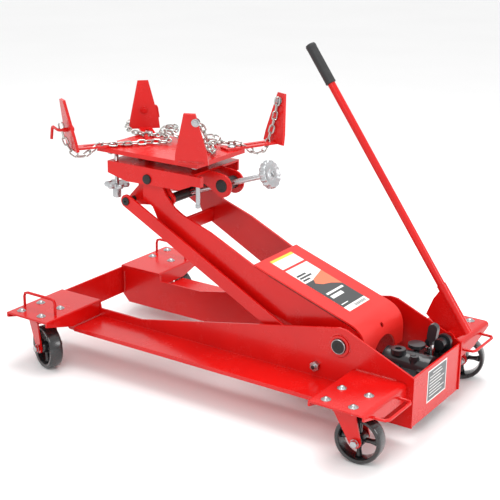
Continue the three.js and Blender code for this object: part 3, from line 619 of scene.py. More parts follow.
def turned(
    name: str,
    place: Vector,
    axis: Vector,
    profile: Sequence[tuple[float, float]],
    looks: Sequence[Look],
    sides: int = 48,
    bands: Sequence[int] | None = None,
    reshape: Callable[[float, float, float], float] | None = None,
) -> bpy.types.Object:
    """Turns a profile about an axis. A radius of 0 closes the shape.

    Args:
        name: the piece's name.
        place: the point on the axis where height is 0.
        axis: the axis.
        profile: pairs of radius and height, from one end to the other.
        looks: the finishes.
        sides: points around.
        bands: the material index of each stretch of the profile.
        reshape: gives a radius from a radius, a height and an angle.

    Returns:
        The new piece.
    """
    shape = bmesh.new()
    spin = axis_matrix(place, axis)
    rings: list[list] = []
    for radius, height in profile:
        if radius <= 0:
            rings.append([shape.verts.new(spin @ Vector((0, 0, height)))])
            continue
        ring = []
        for i in range(sides):
            angle = 2 * math.pi * i / sides
            r = reshape(radius, height, angle) if reshape else radius
            ring.append(shape.verts.new(spin @ Vector((r * math.cos(angle), r * math.sin(angle), height))))
        rings.append(ring)
    for index, (lower, upper) in enumerate(zip(rings, rings[1:])):
        band = bands[index] if bands else 0
        if len(lower) == 1 or len(upper) == 1:
            tip, rim = (lower[0], upper) if len(lower) == 1 else (upper[0], lower)
            for i in range(sides):
                shape.faces.new((tip, rim[i], rim[(i + 1) % sides])).material_index = band
        else:
            bridge(shape, lower, upper, band)
    if len(rings[0]) > 1 and (profile[0] == profile[-1] or len(rings[-1]) > 1):
        bmesh.ops.remove_doubles(shape, verts=shape.verts, dist=1e-6)
    piece = from_bmesh(name, shape, *looks)
    smooth(piece)
    return piece


def joined(name: str, pieces: Sequence[bpy.types.Object]) -> bpy.types.Object:
    """Joins pieces of one body into one.

    Args:
        name: the joined piece's name.
        pieces: the pieces, which are used up.

    Returns:
        The joined piece.
    """
    shape = bmesh.new()
    looks: list[bpy.types.Material] = []
    for piece in pieces:
        slots = []
        for material in piece.data.materials:
            if material not in looks:
                looks.append(material)
            slots.append(looks.index(material))
        start = len(shape.faces)
        shape.from_mesh(piece.data)
        shape.faces.ensure_lookup_table()
        for face in shape.faces[start:]:
            face.material_index = slots[face.material_index]
    mesh = bpy.data.meshes.new(name)
    shape.to_mesh(mesh)
    shape.free()
    for piece in pieces:
        bpy.data.objects.remove(piece)
    whole = bpy.data.objects.new(name, mesh)
    bpy.context.scene.collection.objects.link(whole)
    for material in looks:
        mesh.materials.append(material)
    smooth(whole)
    return whole


# ------------------------------------------------------------------ repeating pieces
class Pattern:
    """A Geometry Nodes tree that repeats a small mesh along a path or on points."""

    def __init__(self, name: str) -> None:
        """Starts a tree with its geometry sockets."""
        self.tree = bpy.data.node_groups.new(name, "GeometryNodeTree")
        self.tree.interface.new_socket("Geometry", in_out="INPUT", socket_type="NodeSocketGeometry")
        self.tree.interface.new_socket("Geometry", in_out="OUTPUT", socket_type="NodeSocketGeometry")
        self.start = self.tree.nodes.new("NodeGroupInput")
        self.end = self.tree.nodes.new("NodeGroupOutput")

    def size(self, name: str, default: float) -> bpy.types.NodeSocket:
        """Adds a named size to the tree's inputs.

        Args:
            name: the input's name.
            default: its value.

        Returns:
            The socket that gives the size inside the tree.
        """
        made = self.tree.interface.new_socket(name, in_out="INPUT", socket_type="NodeSocketFloat")
        made.default_value = default
        return self.start.outputs[name]

    def seed(self, default: int) -> bpy.types.NodeSocket:
        """Adds the seed to the tree's inputs."""
        made = self.tree.interface.new_socket("Seed", in_out="INPUT", socket_type="NodeSocketInt")
        made.default_value = default
        return self.start.outputs["Seed"]

    def node(self, kind: str, settings: dict | None = None, sockets: dict | None = None) -> bpy.types.Node:
        """Adds a node.

        Args:
            kind: the node's type.
            settings: attributes set first.
            sockets: values or links, by an input's name or number.

        Returns:
            The new node.
        """
        made = self.tree.nodes.new(kind)
        for key, given in (settings or {}).items():
            setattr(made, key, given)
        for key, given in (sockets or {}).items():
            if isinstance(given, bpy.types.NodeSocket):
                self.tree.links.new(given, made.inputs[key])
            else:
                made.inputs[key].default_value = given
        return made

    def close(self, geometry: bpy.types.NodeSocket, look: Look) -> None:
        """Ends the tree in Realize Instances and Set Material.

        Args:
            geometry: the instances.
            look: the finish.
        """
        real = self.node("GeometryNodeRealizeInstances", {}, {"Geometry": geometry})
        dressed = self.node(
            "GeometryNodeSetMaterial", {}, {"Geometry": real.outputs[0], "Material": look.material}
        )
        self.tree.links.new(dressed.outputs[0], self.end.inputs[0])

    def run(self, name: str, carrier: bpy.types.Object, look: Look, **sizes: float) -> bpy.types.Object:
        """Runs the tree on a carrier and keeps the result as a plain mesh.

        Args:
            name: the new piece's name.
            carrier: the curve or mesh that the pattern follows, which is removed.
            look: the finish.
            sizes: values for the tree's named inputs.

        Returns:
            The new piece.
        """
        modifier = carrier.modifiers.new("pattern", "NODES")
        modifier.node_group = self.tree
        for item in self.tree.interface.items_tree:
            if item.in_out == "INPUT" and item.name in sizes:
                modifier[item.identifier] = sizes[item.name]
        depsgraph = bpy.context.evaluated_depsgraph_get()
        mesh = bpy.data.meshes.new_from_object(carrier.evaluated_get(depsgraph), depsgraph=depsgraph)
        carrier.modifiers.remove(modifier)
        data = carrier.data
        bpy.data.objects.remove(carrier)
        (bpy.data.curves if isinstance(data, bpy.types.Curve) else bpy.data.meshes).remove(data)
        piece = new_object(name, mesh, [look])
        mesh.shade_smooth()
        mesh.set_sharp_from_angle(angle=math.radians(40))
        return piece


def path_object(name: str, points: Sequence[Vector], straight: bool = False) -> bpy.types.Object:
    """Makes a curve for a pattern to follow.

    Args:
        name: the curve's name.
        points: its points.
        straight: whether it runs straight between its points.

    Returns:
        The curve's object.
    """
    curve = bpy.data.curves.new(name, "CURVE")
    curve.dimensions = "3D"
    curve.twist_mode = "MINIMUM"
    if straight:
        spline = curve.splines.new("POLY")
        spline.points.add(len(points) - 1)
        for target, point in zip(spline.points, points):
            target.co = (*point, 1.0)
    else:
        spline = curve.splines.new("BEZIER")
        spline.bezier_points.add(len(points) - 1)
        for target, point in zip(spline.bezier_points, points):
            target.co = point
            target.handle_left_type = "AUTO"
            target.handle_right_type = "AUTO"
    piece = bpy.data.objects.new(name, curve)
    bpy.context.scene.collection.objects.link(piece)
    return piece


def cloud_object(name: str, points: Sequence[Vector]) -> bpy.types.Object:
    """Makes loose points for a pattern to stand on."""
    mesh = bpy.data.meshes.new(name)
    mesh.from_pydata([tuple(p) for p in points], [], [])
    piece = bpy.data.objects.new(name, mesh)
    bpy.context.scene.collection.objects.link(piece)
    return piece


@dataclass
class WeldBead:
    """A weld bead: overlapping ripples along a seam."""

    radius: float = 0.003
    step: float = 0.62
    look: Look = Look.WELD

    def lay(self, name: str, points: Sequence[Vector], body: str) -> bpy.types.Object:
        """Lays the bead along a seam.

        Args:
            name: the piece's name.
            points: the seam's corners.
            body: the body that it rides on.

        Returns:
            The bead.
        """
        pattern = Pattern("weld_bead")
        radius = pattern.size("Radius", self.radius)
        step = pattern.size("Step", self.radius * self.step)
        seed = pattern.seed(3)
        spots = pattern.node(
            "GeometryNodeCurveToPoints", {"mode": "LENGTH"}, {0: pattern.start.outputs[0], "Length": step}
        )
        ripple = pattern.node("GeometryNodeMeshIcoSphere", {}, {"Radius": radius, "Subdivisions": 2})
        wobble = pattern.node(
            "FunctionNodeRandomValue",
            {"data_type": "FLOAT_VECTOR"},
            {0: (0.8, 0.8, 0.34), 1: (1.1, 1.1, 0.52), "Seed": seed},
        )
        laid = pattern.node(
            "GeometryNodeInstanceOnPoints",
            {},
            {
                "Points": spots.outputs["Points"],
                "Instance": ripple.outputs[0],
                "Rotation": spots.outputs["Rotation"],
                "Scale": wobble.outputs[0],
            },
        )
        pattern.close(laid.outputs[0], self.look)
        sizes = {"Radius": self.radius, "Step": self.radius * self.step}
        piece = pattern.run(name, path_object(name + "_path", points, True), self.look, **sizes)
        return settle(piece, body, "red_paint")


@dataclass
class Fastener:
    """A hexagon-headed bolt, nut or dome with its washer, repeated on points."""

    head: float = 0.0085
    height: float = 0.006
    washer: float = 0.0115
    dome: bool = False

    def mesh(self, name: str) -> bpy.types.Object:
        """Builds one head on the origin, standing along Z.

        Returns:
            The head, with its washer.
        """
        sides = 32 if self.dome else 6
        rim = self.head * (0.96 if self.dome else 0.9)
        top = [(0.0, self.height), (rim * 0.5, self.height)]
        if self.dome:
            top = [(0.0, self.height), (rim * 0.45, self.height * 0.9), (rim * 0.8, self.height * 0.6)]
        foot = [(self.head, 0.0013), (0.0, 0.0013)]
        profile = [*top, (rim, self.height), (self.head, self.height * 0.82), *foot]
        if self.dome:
            profile = [*top, (self.head, self.height * 0.22), *foot]
        head = turned(name + "_head", Vector(), Vector((0, 0, 1)), profile, [Look.ZINC], sides)
        if self.washer <= 0:
            head.name = name
            return head
        ring = turned(
            name + "_washer",
            Vector(),
            Vector((0, 0, 1)),
            [
                (0.0, 0.0015),
                (self.washer * 0.95, 0.0015),
                (self.washer, 0.001),
                (self.washer, 0.0),
                (0.0, 0.0),
            ],
            [Look.ZINC],
            28,
        )
        return joined(name, [head, ring])

    def place(
        self, name: str, points: Sequence[Vector], axis: Vector, body: str, look: Look = Look.ZINC
    ) -> bpy.types.Object:
        """Repeats the head on points.

        Args:
            name: the piece's name.
            points: where the heads stand.
            axis: the way they point.
            body: the body that they ride on.
            look: the finish.

        Returns:
            One piece with every head.
        """
        head = self.mesh(name + "_source")
        pattern = Pattern("fasteners")
        seed = pattern.seed(5)
        source = pattern.node("GeometryNodeObjectInfo", {"transform_space": "ORIGINAL"}, {"Object": head})
        spin = pattern.node(
            "FunctionNodeRandomValue",
            {"data_type": "FLOAT_VECTOR"},
            {0: (0.0, 0.0, 0.0), 1: (0.0, 0.0, math.pi), "Seed": seed},
        )
        aim = pattern.node(
            "FunctionNodeAlignEulerToVector",
            {"axis": "Z"},
            {"Rotation": spin.outputs[0], "Vector": tuple(axis)},
        )
        laid = pattern.node(
            "GeometryNodeInstanceOnPoints",
            {},
            {
                "Points": pattern.start.outputs[0],
                "Instance": source.outputs["Geometry"],
                "Rotation": aim.outputs[0],
            },
        )
        pattern.close(laid.outputs[0], look)
        piece = pattern.run(name, cloud_object(name + "_points", points), look)
        bpy.data.objects.remove(head)
        return settle(piece, body, "zinc")


@dataclass
class Chain:
    """Welded chain of round wire, with every other link turned on edge."""

    wire: float = 0.0024
    length: float = 0.03
    width: float = 0.018

    def link(self, name: str) -> bpy.types.Object:
        """Builds one link along X about the origin.

        Returns:
            The link.
        """
        straight = self.length / 2 - self.width / 2
        bow = self.width / 2 - self.wire
        arc = 7
        path: list[Vector] = []
        for end, turn in ((straight, -math.pi / 2), (-straight, math.pi / 2)):
            for i in range(arc):
                angle = turn + math.pi * i / (arc - 1)
                path.append(Vector((end + bow * math.cos(angle), bow * math.sin(angle), 0)))
        shape = bmesh.new()
        sides = 8
        rings = []
        for i, point in enumerate(path):
            along = (path[(i + 1) % len(path)] - path[i - 1]).normalized()
            out = along.cross(Vector((0, 0, 1)))
            rings.append(
                [
                    shape.verts.new(
                        point + (out * math.cos(a) + Vector((0, 0, 1)) * math.sin(a)) * self.wire
                    )
                    for a in (2 * math.pi * k / sides for k in range(sides))
                ]
            )
        for i, ring in enumerate(rings):
            bridge(shape, ring, rings[(i + 1) % len(rings)])
        return from_bmesh(name, shape, Look.CHAIN)

    def hang(self, name: str, points: Sequence[Vector], body: str, seed: int) -> bpy.types.Object:
        """Threads links along a route.

        Args:
            name: the piece's name.
            points: the route from one end to the other.
            body: the body that it rides on.
            seed: fixes how the links lean.

        Returns:
            The run of chain.
        """
        link = self.link(name + "_link")
        pattern = Pattern("chain")
        pitch = pattern.size("Pitch", self.length - 4 * self.wire)
        number = pattern.seed(seed)
        spots = pattern.node(
            "GeometryNodeCurveToPoints", {"mode": "LENGTH"}, {0: pattern.start.outputs[0], "Length": pitch}
        )
        aim = pattern.node(
            "FunctionNodeAlignEulerToVector", {"axis": "X"}, {"Vector": spots.outputs["Tangent"]}
        )
        order = pattern.node("GeometryNodeInputIndex")
        quarter = pattern.node(
            "ShaderNodeMath",
            {"operation": "MULTIPLY_ADD"},
            {0: order.outputs[0], 1: math.pi / 2, 2: math.pi / 4},
        )
        lean = pattern.node(
            "FunctionNodeRandomValue", {"data_type": "FLOAT"}, {2: -0.3, 3: 0.3, "Seed": number}
        )
        roll = pattern.node(
            "ShaderNodeMath", {"operation": "ADD"}, {0: quarter.outputs[0], 1: lean.outputs[1]}
        )
        axis_angle = pattern.node(
            "FunctionNodeAxisAngleToRotation", {}, {"Axis": (1.0, 0.0, 0.0), "Angle": roll.outputs[0]}
        )
        turn = pattern.node(
            "FunctionNodeRotateRotation",
            {"rotation_space": "LOCAL"},
            {"Rotation": aim.outputs[0], "Rotate By": axis_angle.outputs[0]},
        )
        source = pattern.node("GeometryNodeObjectInfo", {"transform_space": "ORIGINAL"}, {"Object": link})
        laid = pattern.node(
            "GeometryNodeInstanceOnPoints",
            {},
            {
                "Points": spots.outputs["Points"],
                "Instance": source.outputs["Geometry"],
                "Rotation": turn.outputs[0],
            },
        )
        pattern.close(laid.outputs[0], Look.CHAIN)
        sizes = {"Pitch": self.length - 4 * self.wire}
        piece = pattern.run(name, path_object(name + "_route", points), Look.CHAIN, **sizes)
        bpy.data.objects.remove(link)
        return settle(piece, body, "zinc")


def settle(piece: bpy.types.Object, body: str, slot: str, *nodes: str) -> bpy.types.Object:
    """Rides a finished piece on its body.

    Args:
        piece: the piece.
        body: the body that it moves with.
        slot: the record's material slot; not used.
        nodes: the nodes that it stands for.

    Returns:
        The same piece.
    """
    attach(piece, body)
    if nodes:
        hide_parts(*nodes)
    LOG.info("%s rides on %s", piece.name, body)
    return piece


def settle_dressed(node: str, body: str, slot: str, look: Look, width: float = 0.0012) -> bpy.types.Object:
    """Dresses a node and rides the result on the node's body."""
    return settle(dress(node, look, width), body, slot)


# ------------------------------------------------------------------ sub-assemblies
@dataclass
class Base:
    """The welded frame: rails, wings, end plates, main shaft, link bolts and tie loops."""

    sheet_round: float = 0.0014
    bolt_spread: tuple[float, float] = (0.038, 0.0395)
    bead: WeldBead = field(default_factory=lambda: WeldBead(0.0046, 0.9))

    def build(self) -> None:
        """Makes every piece of the base."""
        for side in ("left", "right"):
            for node in (f"side_rail_{side}", f"front_wing_{side}", f"rear_wing_{side}"):
                settle_dressed(node, "frame", "red_paint", Look.RED, self.sheet_round)
            self.link_bolt(side)
            self.wing_bolts(side)
            self.welds(side)
        settle_dressed("front_cross_plate", "frame", "red_paint", Look.RED)
        settle_dressed("rear_plate", "frame", "red_paint", Look.RED)
        self.main_shaft()
        self.data_label()

    def main_shaft(self) -> None:
        """Makes the main pivot shaft with chamfered, turned ends, whose raised rings and chamfers are
        coloured zinc as a painted edge highlight.
        """
        low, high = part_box("main_pivot_shaft")
        middle = (low + high) / 2
        radius = (high.z - low.z) / 2
        half = (high.y - low.y) / 2
        end = [
            (0.0, half - 0.0012),
            (radius * 0.3, half - 0.0012),
            (radius * 0.34, half - 0.0004),
            (radius * 0.84, half - 0.0004),
            (radius * 0.88, half),
            (radius * 0.93, half),
            (radius, half - 0.0018),
        ]
        profile = [(r, -h) for r, h in end] + [(r, h) for r, h in reversed(end)]
        # Zinc colour on each end's raised ring and chamfer: a painted edge highlight on the black shaft.
        rim = {4, 5, len(profile) - 7, len(profile) - 6}
        bands = [1 if i in rim else 0 for i in range(len(profile) - 1)]
        looks = [Look.BLACK, Look.ZINC]
        piece = turned("main_pivot_shaft_piece", middle, Vector((0, 1, 0)), profile, looks, 56, bands)
        settle(piece, "frame", "black_oxide", "main_pivot_shaft")

    def link_bolt(self, side: str) -> None:
        """Makes a link's lower bolt, with a zinc nut and a black stud end."""
        node = f"link_bolt_{side}"
        sign = LEFT if side == "left" else RIGHT
        bolt = dress(node, Look.ZINC, 0.0008)
        low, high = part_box(node)
        outer = low.y if sign < 0 else high.y
        middle = (low + high) / 2
        start = Vector((middle.x, outer - sign * 0.005, middle.z))
        tip = [(0.0, 0.006), (0.0045, 0.006), (0.0066, 0.0045), (0.0066, 0.0), (0.0, 0.0)]
        stud = turned(node + "_stud", start, Vector((0, sign, 0)), tip, [Look.BLACK], 28)
        settle(bolt, "frame", "zinc")
        settle(stud, "frame", "black_oxide")

    def wing_bolts(self, side: str) -> None:
        """Puts the caster bolts' heads on the wings and their nuts underneath."""
        for end in ("front", "rear"):
            name = f"{end}_{side}"
            swivel = place_of(f"swivel_{name}")
            top = self.wing_top(f"{end}_wing_{side}")
            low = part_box(f"caster_plate_{name}")[0]
            spots = [
                Vector((swivel.x + i * self.bolt_spread[0], swivel.y + j * self.bolt_spread[1], 0))
                for i in (-1, 1)
                for j in (-1, 1)
            ]
            heads = [Vector((p.x, p.y, top)) for p in spots]
            Fastener(0.0102, 0.0078, 0.0128, dome=True).place(
                f"caster_bolts_{name}", heads, Vector((0, 0, 1)), "frame"
            )
            nuts = [Vector((p.x, p.y, low.z + 0.0014)) for p in spots]
            Fastener(0.008, 0.0075, 0.0).place(f"caster_nuts_{name}", nuts, Vector((0, 0, -1)), "frame")

    def wing_top(self, node: str) -> float:
        """Gives the height of a wing's flat top, below any tie loop that stands on it."""
        heights: dict[float, float] = {}
        mesh = frame["nodes"][node].data
        for face in mesh.polygons:
            if face.normal.z > 0.99:
                level = round(face.center.z, 4)
                heights[level] = heights.get(level, 0.0) + face.area
        return max(heights, key=heights.get)

    def welds(self, side: str) -> None:
        """Lays the beads where the rear wing and the shaft boss meet the web, and up the web at the rail's
        two ends.
        """
        sign = LEFT if side == "left" else RIGHT
        low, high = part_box(f"side_rail_{side}")
        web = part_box("rear_plate")[1].y + 0.0003 + 0.006
        for end in ("front", "rear"):
            wing_low, wing_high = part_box(f"{end}_wing_{side}")
            top = self.wing_top(f"{end}_wing_{side}")
            first = wing_low.x + 0.012
            last = min(wing_high.x, high.x) - 0.05
            if end == "rear":
                seam = [Vector((first, sign * (web + 0.001), top)), Vector((last, sign * (web + 0.001), top))]
                self.bead.lay(f"weld_{end}_wing_{side}", seam, "frame")
        boss = place_of("lift")
        radius = 0.0305
        ring = [
            Vector((boss.x + radius * math.cos(a), sign * web, boss.z + radius * math.sin(a)))
            for a in (2 * math.pi * i / 40 for i in range(41))
        ]
        WeldBead(0.0022).lay(f"weld_boss_{side}", ring, "frame")
        for number, x in enumerate((low.x + 0.0075, high.x - 0.0115)):
            y = sign * (web - 0.0065)
            seam = [Vector((x, y, low.z + 0.03)), Vector((x, y, low.z + 0.1))]
            WeldBead(0.0025).lay(f"weld_end_{number}_{side}", seam, "frame")

    def data_label(self) -> None:
        """Sticks the plain rating plate on the rear plate, with bars for its rows."""
        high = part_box("rear_plate")[1]
        face = high.x + 0.0002
        sheet = LabelSheet(
            origin=Vector((face, -0.056, high.z - 0.012)),
            across=Vector((0, 1, 0)),
            down=Vector((0, 0, -1)),
            out=Vector((1, 0, 0)),
        )
        sheet.patch(0.0, 0.0, 0.114, 0.09, Look.INK_WHITE, 0)
        sheet.patch(0.004, 0.004, 0.106, 0.082, Look.INK_STEEL, 1)
        for row in range(8):
            left = 0.012 if row else 0.03
            right = 0.1 - 0.012 * ((row * 7) % 3) - (0.02 if row == 0 else 0.0)
            sheet.patch(left, 0.012 + row * 0.0088, right - left, 0.0024, Look.INK_WHITE, 2)
        settle(sheet.make("rating_plate"), "frame", "red_paint")


@dataclass
class LabelSheet:
    """Printed patches stacked on one plane, in thin layers."""

    origin: Vector
    across: Vector
    down: Vector
    out: Vector
    layer: float = 0.00018
    patches: list[tuple[list[tuple[float, float]], Look, int]] = field(default_factory=list)

    def patch(self, u: float, v: float, width: float, height: float, look: Look, level: int) -> None:
        """Adds a rectangle.

        Args:
            u: distance across to its left edge.
            v: distance down to its top edge.
            width: its width.
            height: its height.
            look: its ink.
            level: its layer, from 0.
        """
        self.shape([(u, v), (u + width, v), (u + width, v + height), (u, v + height)], look, level)

    def shape(self, outline: list[tuple[float, float]], look: Look, level: int) -> None:
        """Adds any outline, as pairs of distance across and down."""
        self.patches.append((outline, look, level))

    def make(self, name: str) -> bpy.types.Object:
        """Builds the label.

        Args:
            name: the piece's name.

        Returns:
            The label as one piece.
        """
        looks = list(dict.fromkeys(patch[1] for patch in self.patches))
        shape = bmesh.new()
        for outline, look, level in self.patches:
            lift = self.out * (self.layer * level)
            base = self.origin + lift
            lower = [shape.verts.new(base + self.across * u + self.down * v) for u, v in outline]
            upper = [shape.verts.new(v.co + self.out * self.layer * 0.95) for v in lower]
            start = len(shape.faces)
            shape.faces.new(lower)
            shape.faces.new(upper)
            bridge(shape, lower, upper)
            shape.faces.ensure_lookup_table()
            for face in shape.faces[start:]:
                face.material_index = looks.index(look)
        return from_bmesh(name, shape, *looks)


@dataclass
class Casters:
    """Four swivel casters: plate, race, fork, axle and spoked wheel."""

    openings: int = 4
    bead: WeldBead = field(default_factory=lambda: WeldBead(0.002))

    def build(self) -> None:
        """Makes every caster."""
        for corner in CORNERS:
            settle_dressed(f"caster_plate_{corner}", "frame", "red_paint", Look.RED, 0.0009)
            settle_dressed(f"caster_fork_{corner}", f"fork_{corner}", "red_paint", Look.RED, 0.0012)
            self.race(corner)
            self.axle_nuts(corner)
            self.wheel(corner)

    def axle_nuts(self, corner: str) -> None:
        """Puts a zinc nut on each end of the axle."""
        axle, axis = place_of(f"wheel_{corner}"), axis_of(f"wheel_{corner}")
        ends = [(v.co - axle) for v in frame["nodes"][f"caster_fork_{corner}"].data.vertices]
        near = [c.dot(axis) for c in ends if (c - axis * c.dot(axis)).length < 0.012]
        for number, reach in enumerate((min(near), max(near))):
            way = axis if reach > 0 else -axis
            seat = axle + way * (abs(reach) - 0.004)
            nut = Fastener(0.0098, 0.0085, 0.0115)
            nut.place(f"axle_nut_{number}_{corner}", [seat], way, f"fork_{corner}")

    def race(self, corner: str) -> None:
        """Makes the swivel's pressed race."""
        swivel = place_of(f"swivel_{corner}")
        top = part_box(f"caster_fork_{corner}")[1].z
        profile = [
            (0.0, -0.0002),
            (0.0268, -0.0002),
            (0.0285, -0.002),
            (0.0292, -0.0048),
            (0.0278, -0.0075),
            (0.0258, -0.0086),
            (0.0, -0.0086),
        ]
        place = Vector((swivel.x, swivel.y, top))
        piece = turned(f"swivel_race_{corner}", place, Vector((0, 0, 1)), profile, [Look.ZINC], 48)
        settle(piece, f"fork_{corner}", "zinc")

    def wheel(self, corner: str) -> None:
        """Makes the wheel: a crowned tread on a rim, a boss, and tapered spokes between."""
        node = f"caster_wheel_{corner}"
        axle = place_of(f"wheel_{corner}")
        axis = axis_of(f"wheel_{corner}")
        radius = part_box(node)[1].z - axle.z
        half = 0.0205
        tread = [
            (radius - 0.011, -half + 0.0025),
            (radius - 0.004, -half + 0.001),
            (radius - 0.0015, -half + 0.003),
            (radius - 0.0004, -half + 0.009),
            (radius, 0.0),
            (radius - 0.0004, half - 0.009),
            (radius - 0.0015, half - 0.003),
            (radius - 0.004, half - 0.001),
            (radius - 0.011, half - 0.0025),
            (radius - 0.0125, half - 0.005),
            (radius - 0.0142, 0.0),
            (radius - 0.0125, -half + 0.005),
            (radius - 0.011, -half + 0.0025),
        ]
        rim = turned(node + "_tread", axle, axis, tread, [Look.WHEEL], 72)
        boss = [
            (0.0074, -half),
            (0.0125, -half),
            (0.0165, -half + 0.004),
            (0.0178, 0.0),
            (0.0165, half - 0.004),
            (0.0125, half),
            (0.0074, half),
            (0.0074, -half),
        ]
        hub = turned(node + "_boss", axle, axis, boss, [Look.WHEEL], 40)
        pieces = [rim, hub, *(self.spoke(node, axle, axis, radius, i) for i in range(self.openings))]
        whole = joined(node + "_piece", pieces)
        settle(whole, f"wheel_{corner}", "black_wheel", node)

    def spoke(self, node: str, axle: Vector, axis: Vector, radius: float, index: int) -> bpy.types.Object:
        """Makes one spoke, wide at the rim.

        Args:
            node: the wheel's node.
            axle: the wheel's middle.
            axis: the wheel's axis.
            radius: the wheel's radius.
            index: which spoke.

        Returns:
            The spoke.
        """
        turn = Quaternion(axis, 2 * math.pi * index / self.openings)
        out = turn @ axis.cross(Vector((0, 0, 1))).normalized()
        wide = axis.cross(out)
        stations = (
            (0.014, 0.0075, 0.012),
            (0.024, 0.0052, 0.0085),
            (0.038, 0.0058, 0.008),
            (radius - 0.0115, 0.013, 0.0105),
        )
        shape = bmesh.new()
        rings = []
        for distance, half_width, half_depth in stations:
            centre = axle + out * distance
            rings.append(
                [
                    shape.verts.new(
                        centre + wide * (half_width * math.cos(a)) + axis * (half_depth * math.sin(a))
                    )
                    for a in (2 * math.pi * k / 16 for k in range(16))
                ]
            )
        for first, second in zip(rings, rings[1:]):
            bridge(shape, first, second)
        shape.faces.new(rings[0])
        shape.faces.new(rings[-1])
        piece = from_bmesh(f"{node}_spoke_{index}", shape, Look.WHEEL)
        subdivide = piece.modifiers.new("smooth", "SUBSURF")
        subdivide.levels = 1
        subdivide.render_levels = 1
        apply_modifiers(piece)
        return piece


@dataclass
class LiftArm:
    """The lift arm: side plates, hub, brace and the folded cover with its labels."""

    label_half: float = 0.055

    def build(self) -> None:
        """Makes every piece of the arm."""
        for side in ("left", "right"):
            settle_dressed(f"arm_side_{side}", "lift_arm", "red_paint", Look.RED, 0.0014)
        settle_dressed("arm_hub", "lift_arm", "red_paint", Look.RED)
        settle_dressed("arm_brace", "lift_arm", "red_paint", Look.RED)
        # The cover takes the lighter, pinker copy of the red, a painted sheen on its upward-facing top.
        settle_dressed("arm_cover", "lift_arm", "red_paint", Look.SHEEN_COVER_RED, 0.0012)
        self.seams()
        self.labels()

    def cover(self) -> tuple[Vector, Vector, Vector]:
        """Measures the cover's flat top.

        Returns:
            The middle of its front edge, the way down its slope, and the way out of it.
        """
        mesh = frame["nodes"]["arm_cover"].data
        top = max((f for f in mesh.polygons if f.normal.z > 0.5), key=lambda f: f.area)
        out = top.normal.copy()
        down = Vector((0, 1, 0)).cross(out).normalized()
        down = down if down.x > 0 else -down
        level = top.center.dot(out)
        flat = [v.co for v in mesh.vertices if abs(v.co.dot(out) - level) < 0.0004]
        front = min(c.dot(down) for c in flat)
        middle = Vector((top.center.x, 0, top.center.z))
        return middle + down * (front - middle.dot(down)), down, out

    def seams(self) -> None:
        """Lays the weld under the cover's edges, coloured near-black as painted shade under the cover's
        overhang, and the brace's beads.
        """
        front, down, out = self.cover()
        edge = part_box("arm_cover")[1].y
        for side, sign in (("left", LEFT), ("right", RIGHT)):
            corner = front + Vector((0, sign * (edge - 0.0022), 0)) - out * 0.0062
            seam = [corner + down * 0.05, corner + down * 0.3]
            # This bead is real, but its near-black colour is painted shade under the cover's overhang.
            WeldBead(0.0024, 0.9, Look.SHADED_WELD).lay(f"weld_cover_{side}", seam, "lift_arm")
        low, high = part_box("arm_brace")
        for side, sign in (("left", LEFT), ("right", RIGHT)):
            y = sign * (high.y - 0.0005)
            seam = [Vector((high.x - 0.008, y, high.z - 0.004)), Vector((low.x + 0.008, y, high.z - 0.004))]
            WeldBead(0.0026).lay(f"weld_brace_{side}", seam, "lift_arm")

    def sheet(self, start: float) -> LabelSheet:
        """Gives an empty label that starts a distance down from the cover's front edge."""
        front, down, out = self.cover()
        origin = front + down * start + out * 0.0003 - Vector((0, self.label_half, 0))
        return LabelSheet(origin, Vector((0, 1, 0)), down, out)

    def labels(self) -> None:
        """Sticks two generic labels on the cover: a notice with a yellow band, and a panel."""
        width = 2 * self.label_half
        notice = self.sheet(0.016)
        notice.patch(0.0, 0.0, width, 0.046, Look.INK_WHITE, 0)
        notice.patch(0.0, 0.0, width, 0.0095, Look.INK_YELLOW, 1)
        settle(notice.make("notice_label"), "lift_arm", "red_paint")
        panel = self.sheet(0.07)
        panel.patch(0.0, 0.0, width, 0.214, Look.INK_WHITE, 0)
        panel.patch(0.0, 0.068, width, 0.126, Look.INK_GREY, 1)
        flame = [(0.03, 0.082), (0.044, 0.066), (width, 0.05), (width, 0.122), (0.078, 0.104), (0.048, 0.096)]
        panel.shape(flame, Look.INK_ORANGE, 2)
        for row, right in enumerate((0.05, 0.064, 0.04)):
            panel.patch(0.006, 0.032 + row * 0.011, right - 0.006, 0.0064, Look.INK_GREY, 1)
        for row, (right, height) in enumerate(((0.098, 0.007), (0.07, 0.012))):
            panel.patch(0.012, 0.128 + row * 0.014, right - 0.012, height, Look.INK_WHITE, 2)
        panel.patch(0.006, 0.182, 0.034, 0.003, Look.INK_WHITE, 2)
        for bar in range(9):
            panel.patch(0.046 + bar * 0.0062, 0.2, 0.0032, 0.009, Look.INK_GREY, 1)
        settle(panel.make("panel_label"), "lift_arm", "red_paint")


@dataclass
class Links:
    """The two levelling links and their upper shaft."""

    def build(self) -> None:
        """Makes the links."""
        for side in ("left", "right"):
            settle_dressed(f"level_link_{side}", "level_links", "red_paint", Look.RED, 0.0012)
        settle_dressed("link_shaft", "level_links", "black_oxide", Look.BLACK, 0.0008)
        low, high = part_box("link_shaft")
        middle = (low + high) / 2
        for side, y, sign in (("left", low.y, LEFT), ("right", high.y, RIGHT)):
            recess = [(0.0, 0.0004), (0.0034, 0.0004), (0.0038, 0.0012)]
            face = [*recess, (0.0058, 0.0012), (0.0062, 0.0), (0.0, 0.0)]
            place = Vector((middle.x, y - sign * 0.0004, middle.z))
            cap = turned(f"link_screw_{side}", place, Vector((0, sign, 0)), face, [Look.PUMP_BLACK], 6)
            settle(cap, "level_links", "black_oxide")


